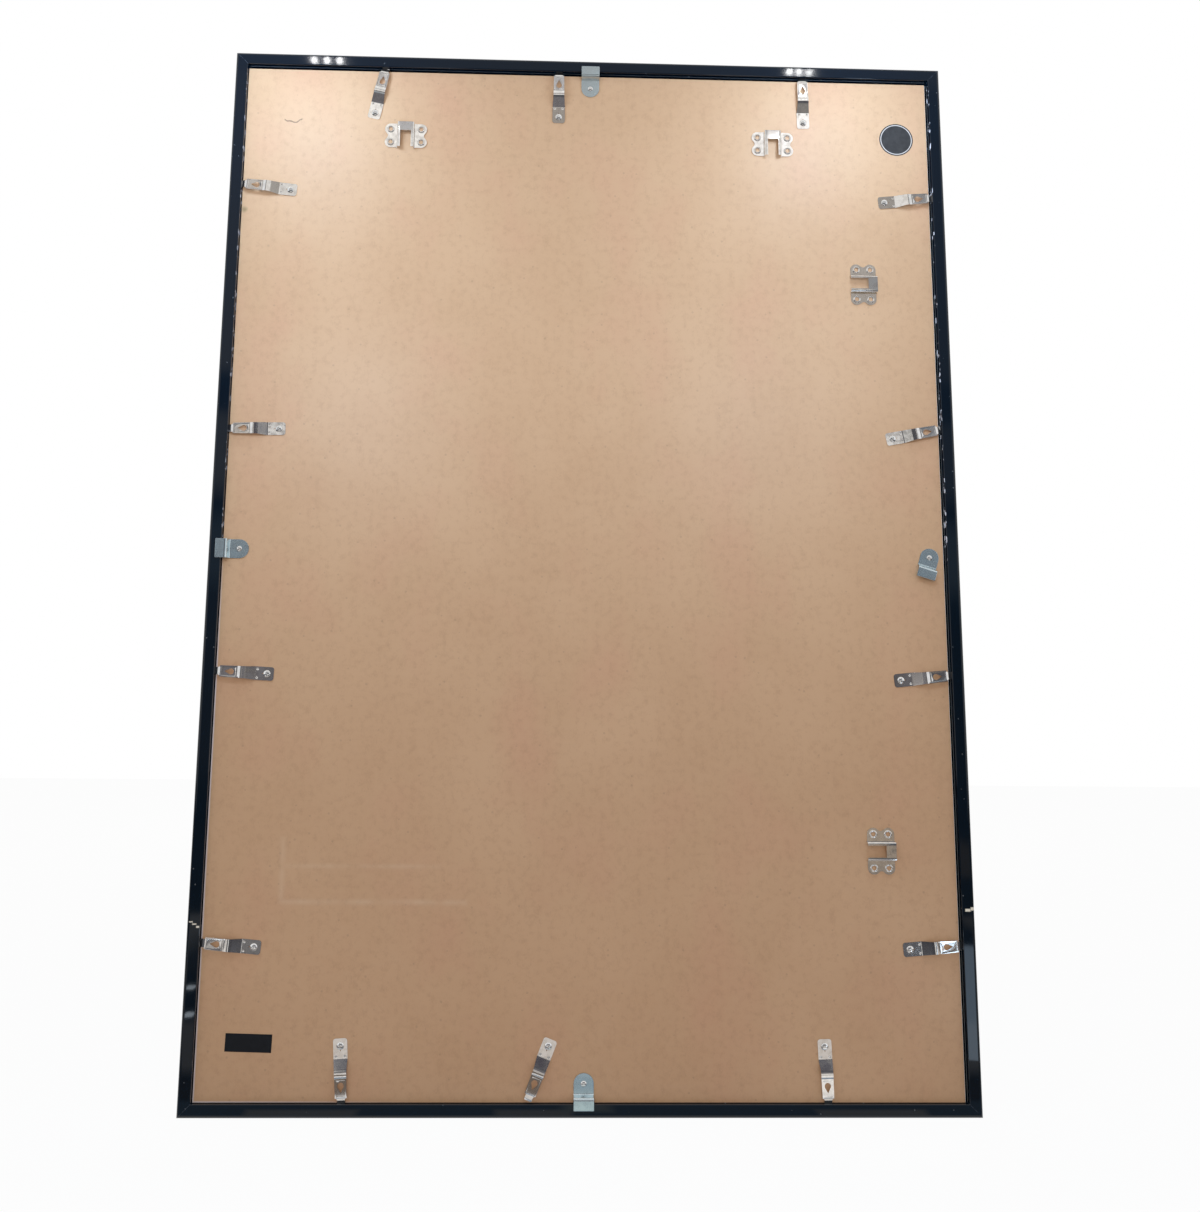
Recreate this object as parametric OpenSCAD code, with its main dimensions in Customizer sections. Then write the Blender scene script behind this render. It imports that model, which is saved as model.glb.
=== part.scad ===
// Back-opening picture frame, upright as hung: X across, Y out of the back, Z up.
// Left and right are as seen from the back, so left is +X.

/* [Picture and rails] */
// Width of the picture the frame is made for
picture_w = 700; // [300:1:1200]
// Height of the picture the frame is made for
picture_h = 1000; // [500:1:1500]
// Room between the picture's edge and the rail on each side
rabbet_room = 0.8; // [0.3:0.1:2]
// Width of a rail's rear rim
rim_w = 12.2; // [9:0.1:30]
// Depth of a rail from the rear rim to the front
rail_d = 16; // [14:0.5:40]
// Width of the picture's edge that the front lip covers
lip_w = 5.8; // [3:0.1:12]
// Thickness of the front lip
lip_t = 5; // [3:0.1:10]
// Radius of the rail's outer rear edge
rear_r = 3; // [1:0.1:5]
// Radius of the rail's outer front edge
front_r = 2; // [1:0.1:4]
// Chamfer on the rim's inner edge and on the lip's sight edge
rail_chamfer = 0.5; // [0.2:0.1:1]

/* [Groove for the clips] */
// Depth of the groove's upper wall below the rear rim
groove_setback = 2.4; // [1.5:0.1:4]
// Height of the groove
groove_h = 2.4; // [1.5:0.1:4]
// Depth of the groove into the rail
groove_d = 2.5; // [1:0.1:5]

/* [Corner keys] */
// Length of a key's arms
key_arm = 30; // [15:1:60]
// Width of a key's arms
key_w = 5; // [3:0.1:8]
// Thickness of a key
key_t = 2.4; // [1:0.1:4]
// Distance from the frame's outer face to a key
key_inset = 3.5; // [2:0.1:6]

/* [Picture package] */
// Thickness of the clear glazing
glazing_t = 2; // [1:0.1:4]
// Thickness of the picture sheet
sheet_t = 0.5; // [0.2:0.1:2]
// Thickness of the backing board
board_t = 3; // [2:0.1:6]
// How much smaller the backing board is than the picture
board_undersize = 1; // [0.5:0.1:3]
// How far the backing board lies off the middle, to the left
board_shift = 0.9; // [0:0.1:1]

/* [Spring clips] */
// Distance from the frame's outer face to a clip's rivet
clip_inset = 60.6; // [50:0.1:90]
// Thickness of the clip's spring steel
clip_t = 0.8; // [0.5:0.05:1.5]
// Width of the clip at its rivet
clip_w = 12.8; // [10:0.1:16]
// Width of the clip at its crest
clip_crest_w = 11.3; // [8:0.1:14]
// Width of the clip at the shoulders of its tongue
clip_shoulder_w = 10.5; // [8:0.1:14]
// Width of the clip's tongue
tongue_w = 7.2; // [4:0.1:10]
// Chamfer on the tongue's corners
tongue_chamfer = 0.8; // [0.3:0.1:2]
// Distance from the rivet back to the clip's tail
clip_tail = 6.5; // [5:0.1:10]
// Radius of the corners of the tail
tail_r = 2.5; // [1:0.1:4]
// Length of the flat from the rivet to the foot of the slope
clip_flat = 12.3; // [8:0.1:20]
// Run of the slope
slope_run = 11; // [6:0.1:20]
// Length of the raised crest
crest_run = 5.3; // [3:0.1:10]
// Run of the small step behind the crest
step_run = 0.8; // [0.4:0.1:2]
// Drop of the small step behind the crest
step_drop = 0.6; // [0.2:0.1:1.5]
// Length of the nose plate from the step to the fold
nose_run = 14.3; // [8:0.1:20]
// Drop of the nose plate along its length
nose_drop = 0.3; // [0:0.1:1]
// Run of the fold down to the tongue
fold_run = 3.7; // [2:0.1:6]
// Length of the tongue's end that lies in the groove
tongue_end = 2.1; // [1:0.1:4]
// Radius of the teardrop hole in the nose plate
tear_r = 2.85; // [1.5:0.05:4]
// Distance from the teardrop's round centre to its point
tear_point = 6.15; // [4:0.05:8]
// Share of a teardrop's radius at which the sides of its point start
tear_share = 0.92; // [0.7:0.01:0.98]
// Distance from the step to the teardrop's round centre
tear_setback = 5.2; // [4:0.1:8]
// Distance from the rivet to the point of its own teardrop hole
pivot_point = 4.8; // [4:0.1:6]
// Radius of the two pips pressed into the flat
pip_r = 1.2; // [0.8:0.1:2]
// Depth of the pips
pip_d = 0.3; // [0.1:0.05:0.5]
// Spacing of the pips across the clip
pip_pitch = 8; // [5:0.1:10]
// Distance from the foot of the slope back to the pips
pip_setback = 1.5; // [1:0.1:4]
// Gap over the tongue in its groove
seat_gap = 0.3; // [0.1:0.05:0.6]
// Gap under and over a turning plate at its rivet
slide_gap = 0.1; // [0.05:0.05:0.3]
// Running clearance of a turning plate round its rivet
pivot_play = 0.05; // [0.02:0.01:0.1]

/* [Places of the clips] */
// Share of the frame's width from the middle to the outer top and bottom clips
clip_outer_x_share = 0.3036; // [0.25:0.0001:0.35]
// Distance of the middle top and bottom clips to the left of the middle
clip_middle_x = 32.4; // [28:0.1:60]
// Share of the frame's height from the middle to the outer side clips
clip_outer_z_share = 0.3577; // [0.3:0.0001:0.38]
// Share of the frame's height from the middle to the inner side clips
clip_inner_z_share = 0.116; // [0.08:0.001:0.15]
// Turn of the top clips off square, left to right
top_tilts = [-12, 0, 1]; // [-90:0.5:90]
// Turn of the left clips off square, from the top down
left_tilts = [-5, 1, -3, -5]; // [-90:0.5:90]
// Turn of the bottom clips off square, left to right
bottom_tilts = [3.5, -21.5, 2]; // [-90:0.5:90]
// Turn of the right clips off square, from the top down
right_tilts = [5.5, 11, 6, 5]; // [-90:0.5:90]

/* [Turn buttons] */
// Distance from the frame's outer face to a button's rivet
button_inset = 28.4; // [24:0.1:50]
// Width of a button
button_w = 18.5; // [12:0.1:30]
// Thickness of a button
button_t = 1; // [0.6:0.1:2]
// Length from the rivet to the foot of the joggle
button_flat = 9.5; // [6:0.1:15]
// Run of the joggle
joggle_run = 2.6; // [1.5:0.1:5]
// Distance from the rivet to the end of the lip
button_reach = 21.5; // [18:0.1:40]
// Gap between the lip and the rear rim
button_gap = 0.3; // [0.1:0.05:1]
// Chamfer on the corners of the lip
button_chamfer = 0.7; // [0.3:0.1:2]
// Turn of the right button, which stands open
right_button_turn = -106.7; // [-120:0.1:0]

/* [Rivets and eyelets] */
// Radius of a clip rivet's shank
clip_rivet_r = 1.95; // [1:0.05:3]
// Radius of a clip rivet's rolled head
clip_head_r = 3.4; // [2.5:0.05:5]
// Radius of the hollow in a clip rivet
clip_hollow_r = 1.35; // [0.5:0.05:2]
// Depth of the hollow below the board's back
clip_hollow_d = 1.5; // [0.5:0.1:2.5]
// Radius of a button rivet's shank
button_rivet_r = 1.6; // [1:0.05:3]
// Radius of a button rivet's domed head
button_head_r = 2.8; // [2:0.05:5]
// Height of a button rivet's domed head
button_head_h = 1.5; // [0.8:0.1:3]
// Outer radius of an eyelet's tube
eyelet_r = 2.4; // [1.5:0.05:4]
// Radius of an eyelet's hole
eyelet_bore_r = 1.95; // [1:0.05:3]
// Radius of an eyelet's rolled flange
eyelet_flange_r = 3.75; // [3:0.05:5]
// Thickness of the clinched tails on the board's inside
clinch_t = 0.5; // [0.3:0.1:1]
// Width of the clinched tails round their shanks
clinch_w = 1.1; // [0.6:0.1:2]
// Depth of the recess for a clinched tail
clinch_recess = 0.7; // [0.5:0.1:1.5]
// Room round a clinched tail in its recess
clinch_room = 0.3; // [0.1:0.1:0.6]

/* [Hangers] */
// Distance from the frame's outer face to the middle of a hanger
hanger_inset = 85; // [70:0.5:120]
// Share of the frame's width from the middle to the top hangers
hanger_x_share = 0.259; // [0.15:0.001:0.28]
// Share of the frame's height from the middle to the side hangers
hanger_z_share = 0.2714; // [0.15:0.0001:0.3]
// Thickness of the hanger's steel
hanger_t = 1; // [0.6:0.1:2]
// Width of the bridge over its legs
bridge_w = 17.5; // [12:0.1:30]
// Length of the legs
leg_l = 27; // [15:0.1:40]
// Width of the legs on each side of the open notch
leg_w = 3.35; // [2:0.05:5]
// Width of the bar across the legs
bar_w = 9.5; // [5:0.1:15]
// Distance of the hangers' bars and the clips' crests below the rear rim
rim_sink = 0.3; // [0.1:0.1:1]
// Radius of the lobe round an eyelet
lobe_r = 5.9; // [4.5:0.1:8]
// Share of a lobe's radius from its middle out to the waist of the wing
waist_share = 0.475; // [0.1:0.005:0.8]
// Spacing of the eyelets across the hanger
eyelet_pitch_x = 31; // [25:0.1:45]
// Spacing of the eyelets along the hanger
eyelet_pitch_z = 14; // [12:0.1:25]

/* [Labels] */
// Radius of the round label
round_r = 17.5; // [8:0.1:30]
// Distance from the frame's right face to the middle of the round label
round_side_inset = 45.9; // [35:0.1:80]
// Distance from the frame's top face to the middle of the round label
round_top_inset = 76.4; // [60:0.1:120]
// Width of the oblong label
label_w = 42; // [20:0.1:80]
// Height of the oblong label
label_h = 15.8; // [8:0.1:40]
// Distance from the frame's left face to the middle of the oblong label
label_side_inset = 59.8; // [50:0.1:100]
// Distance from the frame's bottom face to the middle of the oblong label
label_foot_inset = 62.7; // [50:0.1:100]
// Turn of the oblong label
label_turn = -1.6; // [-10:0.1:10]
// Thickness of both labels
label_t = 0.15; // [0.1:0.05:0.3]

/* [Hidden] */
$fn = 64;
rabbet_w = picture_w + 2 * rabbet_room;
rabbet_h = picture_h + 2 * rabbet_room;
outer_w = rabbet_w + 2 * rim_w;
outer_h = rabbet_h + 2 * rim_w;
rail_w = rim_w + lip_w;
board_w = picture_w - board_undersize;
board_h = picture_h - board_undersize;
glazing_y = lip_t - rail_d;
sheet_y = glazing_y + glazing_t;
board_y = sheet_y + sheet_t;
recess = -board_y - board_t;
hang_z = outer_h / 2 - hanger_inset + leg_l / 2 - bar_w;
clip_x = outer_w / 2 - clip_inset;
clip_z = outer_h / 2 - clip_inset;
button_x = outer_w / 2 - button_inset;
button_z = outer_h / 2 - button_inset;
crest_start = clip_flat + slope_run;
crest_end = crest_start + crest_run;
nose_start = crest_end + step_run;
nose_end = nose_start + nose_run;
fold_end = nose_end + fold_run;
clip_reach = fold_end + tongue_end;
crest_y = recess - rim_sink - clip_t;
nose_y = crest_y - step_drop;
tongue_y = recess - groove_setback - seat_gap - clip_t;
lip_y = recess + button_gap;
bridge_h = recess - rim_sink;
lobe_x = eyelet_pitch_x / 2;
lobe_z = eyelet_pitch_z / 2;
waist_x = lobe_x + lobe_r * waist_share;
bare_recess = board_t - clinch_recess;

// Rivet places of the clips as [x, z], each row in the order of its names.
clip_xs = [outer_w * clip_outer_x_share, clip_middle_x, -outer_w * clip_outer_x_share];
clip_zs = [for (share = [clip_outer_z_share, clip_inner_z_share,
    -clip_inner_z_share, -clip_outer_z_share]) outer_h * share];
top_spots = [for (x = clip_xs) [x, clip_z]];
left_spots = [for (z = clip_zs) [clip_x, z]];
bottom_spots = [for (x = clip_xs) [x, -clip_z]];
right_spots = [for (z = clip_zs) [-clip_x, z]];
clip_spots = concat(top_spots, left_spots, bottom_spots, right_spots);
button_spots = [[0, button_z], [button_x, 0], [0, -button_z], [-button_x, 0]];

// Middle and turn of each hanger as [x, z, turn].
hanger_spots = [
    [outer_w * hanger_x_share, outer_h / 2 - hanger_inset, 0],
    [-outer_w * hanger_x_share, outer_h / 2 - hanger_inset, 0],
    [hanger_inset - outer_w / 2, outer_h * hanger_z_share, -90],
    [hanger_inset - outer_w / 2, -outer_h * hanger_z_share, -90]];

// Places a piece on the board's back at x and z from the frame's middle.
module on_back(x, z, turn = 0) {
    translate([x, -recess, z - hang_z])
        rotate([0, turn, 0])
            children();
}

// Raises an outline in X and Z from height y by h.
module raise(y, h) {
    translate([0, y + h, 0])
        rotate([90, 0, 0])
            linear_extrude(height = h)
                children();
}

// Turns a half section about the Y axis.
module turned() {
    rotate([-90, 0, 0])
        rotate_extrude()
            children();
}

function heading(a, b) = atan2(b[1] - a[1], b[0] - a[0]);

// Point i of a bent sheet's upper side, at distance t from its under side.
function upper(path, i, t) =
    let (n = len(path) - 1,
        before = heading(path[max(i - 1, 0)], path[max(i, 1)]),
        after = heading(path[min(i, n - 1)], path[min(i + 1, n)]),
        mean = (before + after) / 2)
    path[i] + t / cos((after - before) / 2) * [-sin(mean), cos(mean)];

// Sheet of thickness t bent along a path of [z, y] points.
module bent_sheet(path, t, w) {
    rotate([0, -90, 0])
        linear_extrude(height = w, center = true)
            polygon(concat(path, [for (i = [len(path) - 1:-1:0]) upper(path, i, t)]));
}

function both_sides(points) =
    concat(points, [for (i = [len(points) - 1:-1:0]) [-points[i][0], points[i][1]]]);

// Round hole drawn out to a point.
module teardrop(r, point) {
    circle(r);
    polygon([[r * tear_share, 0], [0, point], [-r * tear_share, 0]]);
}

// Section of a rail: depth from the outer face, then height.
module rail_section() {
    difference() {
        union() {
            translate([rear_r, -rail_d + front_r])
                square([rim_w - rear_r, rail_d - front_r]);
            translate([0, -rail_d + front_r])
                square([rim_w, rail_d - front_r - rear_r]);
            translate([front_r, -rail_d])
                square([rail_w - front_r, lip_t]);
            translate([rear_r, -rear_r])
                circle(rear_r);
            translate([front_r, -rail_d + front_r])
                circle(front_r);
        }
        translate([rim_w - groove_d, -groove_setback - groove_h])
            square([groove_d + lip_w, groove_h]);
        polygon([[rim_w - rail_chamfer, 0], [rim_w, 0], [rim_w, -rail_chamfer]]);
        polygon([[rail_w - rail_chamfer, -rail_d], [rail_w, -rail_d],
            [rail_w, -rail_d + rail_chamfer]]);
    }
}

// Mitred rail of length l at distance out from the frame's middle.
module rail(l, out, turn) {
    translate([0, 0, -hang_z])
        rotate([0, turn, 0])
            translate([0, 0, out])
                difference() {
                    intersection() {
                        rotate([0, 90, 0])
                            linear_extrude(height = l, center = true)
                                rail_section();
                        raise(-rail_d, rail_d)
                            polygon([[-l / 2, 0], [l / 2, 0],
                                [l / 2 - rail_w, -rail_w], [rail_w - l / 2, -rail_w]]);
                    }
                    for (side = [-1, 1])
                        translate([side * l / 2, 0, 0])
                            key(side);
                }
}

// L-shaped key for the corner at the end of a rail on the given side.
module key(side) {
    raise(-(rail_d + key_t) / 2, key_t)
        polygon([
            [-side * key_inset, -key_inset],
            [-side * (key_inset + key_arm), -key_inset],
            [-side * (key_inset + key_arm), -key_inset - key_w],
            [-side * (key_inset + key_w), -key_inset - key_w],
            [-side * (key_inset + key_w), -key_inset - key_arm],
            [-side * key_inset, -key_inset - key_arm]]);
}

module rail_top() {
    color("#15181d")
        rail(outer_w, outer_h / 2, 0);
}

module rail_bottom() {
    color("#15181d")
        rail(outer_w, outer_h / 2, 180);
}

module rail_left() {
    color("#15181d")
        rail(outer_h, outer_w / 2, 90);
}

module rail_right() {
    color("#15181d")
        rail(outer_h, outer_w / 2, -90);
}

module corner_keys() {
    color("#9a9a9a")
        translate([0, 0, -hang_z])
            for (turn = [0, 180], side = [-1, 1])
                rotate([0, turn, 0])
                    translate([side * outer_w / 2, 0, outer_h / 2])
                        key(side);
}

// Sheet standing on the rabbet's floor, shifted to the left.
module standing_sheet(w, h, y, t, shift = 0) {
    translate([shift - w / 2, y, -rabbet_h / 2 - hang_z])
        cube([w, t, h]);
}

module glazing() {
    color("#dce6ea", 0.4)
        standing_sheet(picture_w, picture_h, glazing_y, glazing_t);
}

module picture_sheet() {
    color("#f4f2ec")
        standing_sheet(picture_w, picture_h, sheet_y, sheet_t);
}

// Hole for a shank through the board with a recess for its clinched tail.
module board_hole(r) {
    raise(-board_t, board_t)
        circle(r);
    raise(-board_t, clinch_recess)
        circle(r + clinch_w + clinch_room);
}

module backing_board() {
    color("#b48f70")
        difference() {
            standing_sheet(board_w, board_h, board_y, board_t, board_shift);
            for (spot = clip_spots)
                on_back(spot[0], spot[1])
                    board_hole(clip_rivet_r);
            for (spot = button_spots)
                on_back(spot[0], spot[1])
                    board_hole(button_rivet_r);
            for (spot = hanger_spots)
                on_back(spot[0], spot[1], spot[2])
                    at_eyelets()
                        board_hole(eyelet_r);
        }
}

clip_path = [
    [-clip_tail, slide_gap],
    [clip_flat, slide_gap],
    [crest_start, crest_y],
    [crest_end, crest_y],
    [nose_start, nose_y],
    [nose_end, nose_y - nose_drop],
    [fold_end, tongue_y],
    [clip_reach, tongue_y]];

module clip_outline() {
    for (side = [-1, 1])
        translate([side * (clip_w / 2 - tail_r), tail_r - clip_tail])
            circle(tail_r);
    translate([tail_r - clip_w / 2, -clip_tail])
        square([clip_w - 2 * tail_r, clip_tail]);
    polygon(both_sides([
        [clip_w / 2, tail_r - clip_tail],
        [clip_w / 2, clip_flat],
        [clip_crest_w / 2, crest_start],
        [clip_shoulder_w / 2, nose_end],
        [tongue_w / 2, nose_end],
        [tongue_w / 2, clip_reach - tongue_chamfer],
        [tongue_w / 2 - tongue_chamfer, clip_reach]]));
}

// Spring clip on its rivet place, pointing up before its turn.
module spring_clip(spot, turn) {
    color("#c9ccce")
        on_back(spot[0], spot[1], turn)
            difference() {
                intersection() {
                    bent_sheet(clip_path, clip_t, clip_w);
                    raise(0, recess)
                        clip_outline();
                }
                raise(0, recess)
                    teardrop(clip_rivet_r + pivot_play, pivot_point);
                translate([0, 0, nose_start + tear_setback])
                    raise(0, recess)
                        teardrop(tear_r, tear_point);
                for (side = [-1, 1])
                    translate([side * pip_pitch / 2, slide_gap + clip_t - pip_d + pip_r,
                        clip_flat - pip_setback])
                        sphere(pip_r);
            }
}

module clip_top_1() {
    spring_clip(top_spots[0], top_tilts[0]);
}

module clip_top_2() {
    spring_clip(top_spots[1], top_tilts[1]);
}

module clip_top_3() {
    spring_clip(top_spots[2], top_tilts[2]);
}

module clip_left_1() {
    spring_clip(left_spots[0], left_tilts[0] + 90);
}

module clip_left_2() {
    spring_clip(left_spots[1], left_tilts[1] + 90);
}

module clip_left_3() {
    spring_clip(left_spots[2], left_tilts[2] + 90);
}

module clip_left_4() {
    spring_clip(left_spots[3], left_tilts[3] + 90);
}

module clip_bottom_1() {
    spring_clip(bottom_spots[0], bottom_tilts[0] + 180);
}

module clip_bottom_2() {
    spring_clip(bottom_spots[1], bottom_tilts[1] + 180);
}

module clip_bottom_3() {
    spring_clip(bottom_spots[2], bottom_tilts[2] + 180);
}

module clip_right_1() {
    spring_clip(right_spots[0], right_tilts[0] - 90);
}

module clip_right_2() {
    spring_clip(right_spots[1], right_tilts[1] - 90);
}

module clip_right_3() {
    spring_clip(right_spots[2], right_tilts[2] - 90);
}

module clip_right_4() {
    spring_clip(right_spots[3], right_tilts[3] - 90);
}

// Half section of a shank of radius r up to height y, with its clinched tail.
module shank(r, y) {
    translate([0, -bare_recess - clinch_t])
        square([r, bare_recess + clinch_t + y]);
    translate([0, -bare_recess - clinch_t])
        square([r + clinch_w, clinch_t]);
}

// Half section of a rolled head between two radii, on height y.
module rolled_head(inner_r, outer_r, y) {
    roll = (outer_r - inner_r) / 2;
    intersection() {
        translate([outer_r - roll, y])
            circle(roll);
        translate([inner_r, y])
            square([2 * roll, roll]);
    }
}

module clip_rivets() {
    head_y = clip_t + 2 * slide_gap;
    color("#b9bcbd")
        for (spot = clip_spots)
            on_back(spot[0], spot[1])
                turned()
                    difference() {
                        union() {
                            shank(clip_rivet_r, head_y + clip_t / 2);
                            rolled_head(clip_hollow_r, clip_head_r, head_y);
                        }
                        translate([0, -clip_hollow_d])
                            square([clip_hollow_r, recess]);
                    }
}

button_path = [
    [-button_w / 2, slide_gap],
    [button_flat, slide_gap],
    [button_flat + joggle_run, lip_y],
    [button_reach, lip_y]];

// Turn button on its rivet place, with its lip up before its turn.
module turn_button(spot, turn) {
    color("#aeb6bb")
        on_back(spot[0], spot[1], turn)
            difference() {
                intersection() {
                    bent_sheet(button_path, button_t, button_w);
                    raise(0, lip_y + button_t) {
                        circle(button_w / 2);
                        polygon(both_sides([
                            [button_w / 2, 0],
                            [button_w / 2, button_reach - button_chamfer],
                            [button_w / 2 - button_chamfer, button_reach]]));
                    }
                }
                raise(0, recess)
                    circle(button_rivet_r + pivot_play);
            }
}

module button_top() {
    turn_button(button_spots[0], 0);
}

module button_left() {
    turn_button(button_spots[1], 90);
}

module button_bottom() {
    turn_button(button_spots[2], 180);
}

module button_right() {
    turn_button(button_spots[3], right_button_turn - 90);
}

module button_rivets() {
    head_y = button_t + 2 * slide_gap;
    dome_r = (pow(button_head_r, 2) + pow(button_head_h, 2)) / (2 * button_head_h);
    color("#c3c8cb")
        for (spot = button_spots)
            on_back(spot[0], spot[1])
                turned() {
                    shank(button_rivet_r, head_y + button_head_h / 2);
                    intersection() {
                        translate([0, head_y + button_head_h - dome_r])
                            circle(dome_r);
                        translate([0, head_y])
                            square([button_head_r, button_head_h]);
                    }
                }
}

// Places at the four eyelets of a hanger.
module at_eyelets() {
    for (x = [-lobe_x, lobe_x], z = [-lobe_z, lobe_z])
        translate([x, 0, z])
            children();
}

// Stamped hanger on its spot: two winged feet, two legs and the bar.
module hanger(spot) {
    color("#c4c6c6")
        on_back(spot[0], spot[1], spot[2])
            difference() {
                union() {
                    raise(0, hanger_t)
                        for (side = [-1, 1])
                            hanger_wing(side);
                    for (side = [-1, 1]) {
                        translate([side * (bridge_w - hanger_t) / 2 - hanger_t / 2, 0, -leg_l / 2])
                            cube([hanger_t, bridge_h, leg_l]);
                        translate([side * (bridge_w - leg_w) / 2 - leg_w / 2, bridge_h - hanger_t, -leg_l / 2])
                            cube([leg_w, hanger_t, leg_l]);
                    }
                    translate([-bridge_w / 2, bridge_h - hanger_t, leg_l / 2 - bar_w])
                        cube([bridge_w, hanger_t, bar_w]);
                }
                at_eyelets()
                    raise(0, hanger_t)
                        circle(eyelet_r);
            }
}

// Outline of a wing with its two lobes, on the given side.
module hanger_wing(side) {
    for (z = [-lobe_z, lobe_z])
        translate([side * lobe_x, z])
            circle(lobe_r);
    polygon([
        [side * (bridge_w / 2 - hanger_t), -lobe_z - lobe_r],
        [side * lobe_x, -lobe_z - lobe_r],
        [side * waist_x, -lobe_z],
        [side * waist_x, lobe_z],
        [side * lobe_x, lobe_z + lobe_r],
        [side * (bridge_w / 2 - hanger_t), lobe_z + lobe_r]]);
}

module hanger_top_left() {
    hanger(hanger_spots[0]);
}

module hanger_top_right() {
    hanger(hanger_spots[1]);
}

module hanger_side_upper() {
    hanger(hanger_spots[2]);
}

module hanger_side_lower() {
    hanger(hanger_spots[3]);
}

module hanger_eyelets() {
    color("#b4b7b8")
        for (spot = hanger_spots)
            on_back(spot[0], spot[1], spot[2])
                at_eyelets()
                    turned()
                        difference() {
                            union() {
                                shank(eyelet_r, hanger_t + hanger_t / 2);
                                rolled_head(eyelet_bore_r, eyelet_flange_r, hanger_t);
                            }
                            translate([0, -board_t])
                                square([eyelet_bore_r, board_t + recess]);
                        }
}

module round_label() {
    color("#2b2b31")
        on_back(round_side_inset - outer_w / 2, outer_h / 2 - round_top_inset)
            raise(0, label_t)
                circle(round_r);
}

module info_label() {
    color("#26262b")
        on_back(outer_w / 2 - label_side_inset, label_foot_inset - outer_h / 2, label_turn)
            raise(0, label_t)
                square([label_w, label_h], center = true);
}

rail_top();
rail_bottom();
rail_left();
rail_right();
corner_keys();
glazing();
picture_sheet();
backing_board();
clip_top_1();
clip_top_2();
clip_top_3();
clip_left_1();
clip_left_2();
clip_left_3();
clip_left_4();
clip_bottom_1();
clip_bottom_2();
clip_bottom_3();
clip_right_1();
clip_right_2();
clip_right_3();
clip_right_4();
clip_rivets();
button_top();
button_left();
button_bottom();
button_right();
button_rivets();
hanger_top_left();
hanger_top_right();
hanger_side_upper();
hanger_side_lower();
hanger_eyelets();
round_label();
info_label();
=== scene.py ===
import bpy
import bmesh
from math import cos, pi, radians, sin
from mathutils import Matrix, Vector


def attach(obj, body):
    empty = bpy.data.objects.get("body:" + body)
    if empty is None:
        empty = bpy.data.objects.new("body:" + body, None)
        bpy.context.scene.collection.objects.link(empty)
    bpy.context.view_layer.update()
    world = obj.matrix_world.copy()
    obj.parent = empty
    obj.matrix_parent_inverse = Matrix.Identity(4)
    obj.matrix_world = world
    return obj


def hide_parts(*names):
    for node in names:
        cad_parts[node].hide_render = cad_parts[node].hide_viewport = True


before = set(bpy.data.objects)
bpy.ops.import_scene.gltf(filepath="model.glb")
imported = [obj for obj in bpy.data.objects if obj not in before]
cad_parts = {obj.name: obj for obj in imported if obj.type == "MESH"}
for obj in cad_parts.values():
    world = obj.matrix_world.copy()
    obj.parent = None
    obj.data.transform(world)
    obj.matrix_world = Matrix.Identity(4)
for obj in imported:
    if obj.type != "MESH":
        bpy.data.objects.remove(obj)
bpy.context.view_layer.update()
print("frame loaded:", len(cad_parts), "nodes")

mm = 0.001

# Seen from the back, the left is +X, up is +Z, and the board's back faces +Y
place = {
    "boardBack": -5.5 * mm,
    "middleZ": -432 * mm,
    "halfWidth": 363 * mm,
    "halfHeight": 513 * mm,
    "rimWidth": 12.2 * mm,
    # rivets' places from the board's middle, in millimetres
    "clipAcross": 302.4,
    "clipUp": 452.4,
    "buttonAcross": 334.6,
    "buttonUp": 484.6,
}


def onBack(x, z, turn=0):
    # from a piece drawn upright round the origin to its place on the board, in millimetres
    spot = Matrix.Translation((x * mm, place["boardBack"], place["middleZ"] + z * mm))
    return spot @ Matrix.Rotation(radians(turn), 4, "Y")


# Modelling steps that the metal pieces share; their measures are in millimetres
modelling = {
    "mergeWithin": 0.005,
    "matchWithin": 0.01,
    "beyond": 1,  # by which a cutter passes the faces that it cuts
    "domeFrom": 12,
    "domeTo": 88,
    "easeAngle": 40,
    "smoothAngle": 32,
}


def startFresh():
    # nothing stays selected, so an operator touches only the new shape
    if bpy.context.mode != "OBJECT":
        bpy.ops.object.mode_set(mode="OBJECT")
    bpy.ops.object.select_all(action="DESELECT")


def editShape(name):
    bpy.context.object.name = name
    bpy.ops.object.transform_apply(location=True, rotation=True, scale=True)
    bpy.ops.object.mode_set(mode="EDIT")


def closeShape():
    bpy.ops.mesh.select_all(action="SELECT")
    bpy.ops.mesh.remove_doubles(threshold=modelling["mergeWithin"] * mm)
    bpy.ops.mesh.normals_make_consistent(inside=False)
    bpy.ops.object.mode_set(mode="OBJECT")
    return bpy.context.object


def pick(kind, test):
    # selects what has its middle where the test says
    bpy.ops.mesh.select_mode(type=kind)
    bpy.ops.mesh.select_all(action="DESELECT")
    data = bpy.context.object.data
    mesh = bmesh.from_edit_mesh(data)
    for part in {"VERT": mesh.verts, "EDGE": mesh.edges, "FACE": mesh.faces}[kind]:
        corners = [part] if kind == "VERT" else part.verts
        if test(sum((corner.co for corner in corners), Vector()) / len(corners) / mm):
            part.select_set(True)
    bmesh.update_edit_mesh(data)


def near(a, *others):
    return any(abs(a - b) < modelling["matchWithin"] for b in others)


def push(x=0, y=0, z=0):
    bpy.ops.mesh.extrude_region_move(TRANSFORM_OT_translate={"value": (x * mm, y * mm, z * mm)})


def drawLine(name, points):
    # one vertex extruded from point to point
    startFresh()
    bpy.ops.mesh.primitive_plane_add(size=mm)
    editShape(name)
    bpy.ops.mesh.select_mode(type="VERT")
    bpy.ops.mesh.merge(type="CENTER")
    bpy.ops.transform.translate(value=Vector(points[0]) * mm)
    for last, here in zip(points, points[1:]):
        push(*(Vector(here) - Vector(last)))
    bpy.ops.mesh.select_all(action="SELECT")


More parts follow.
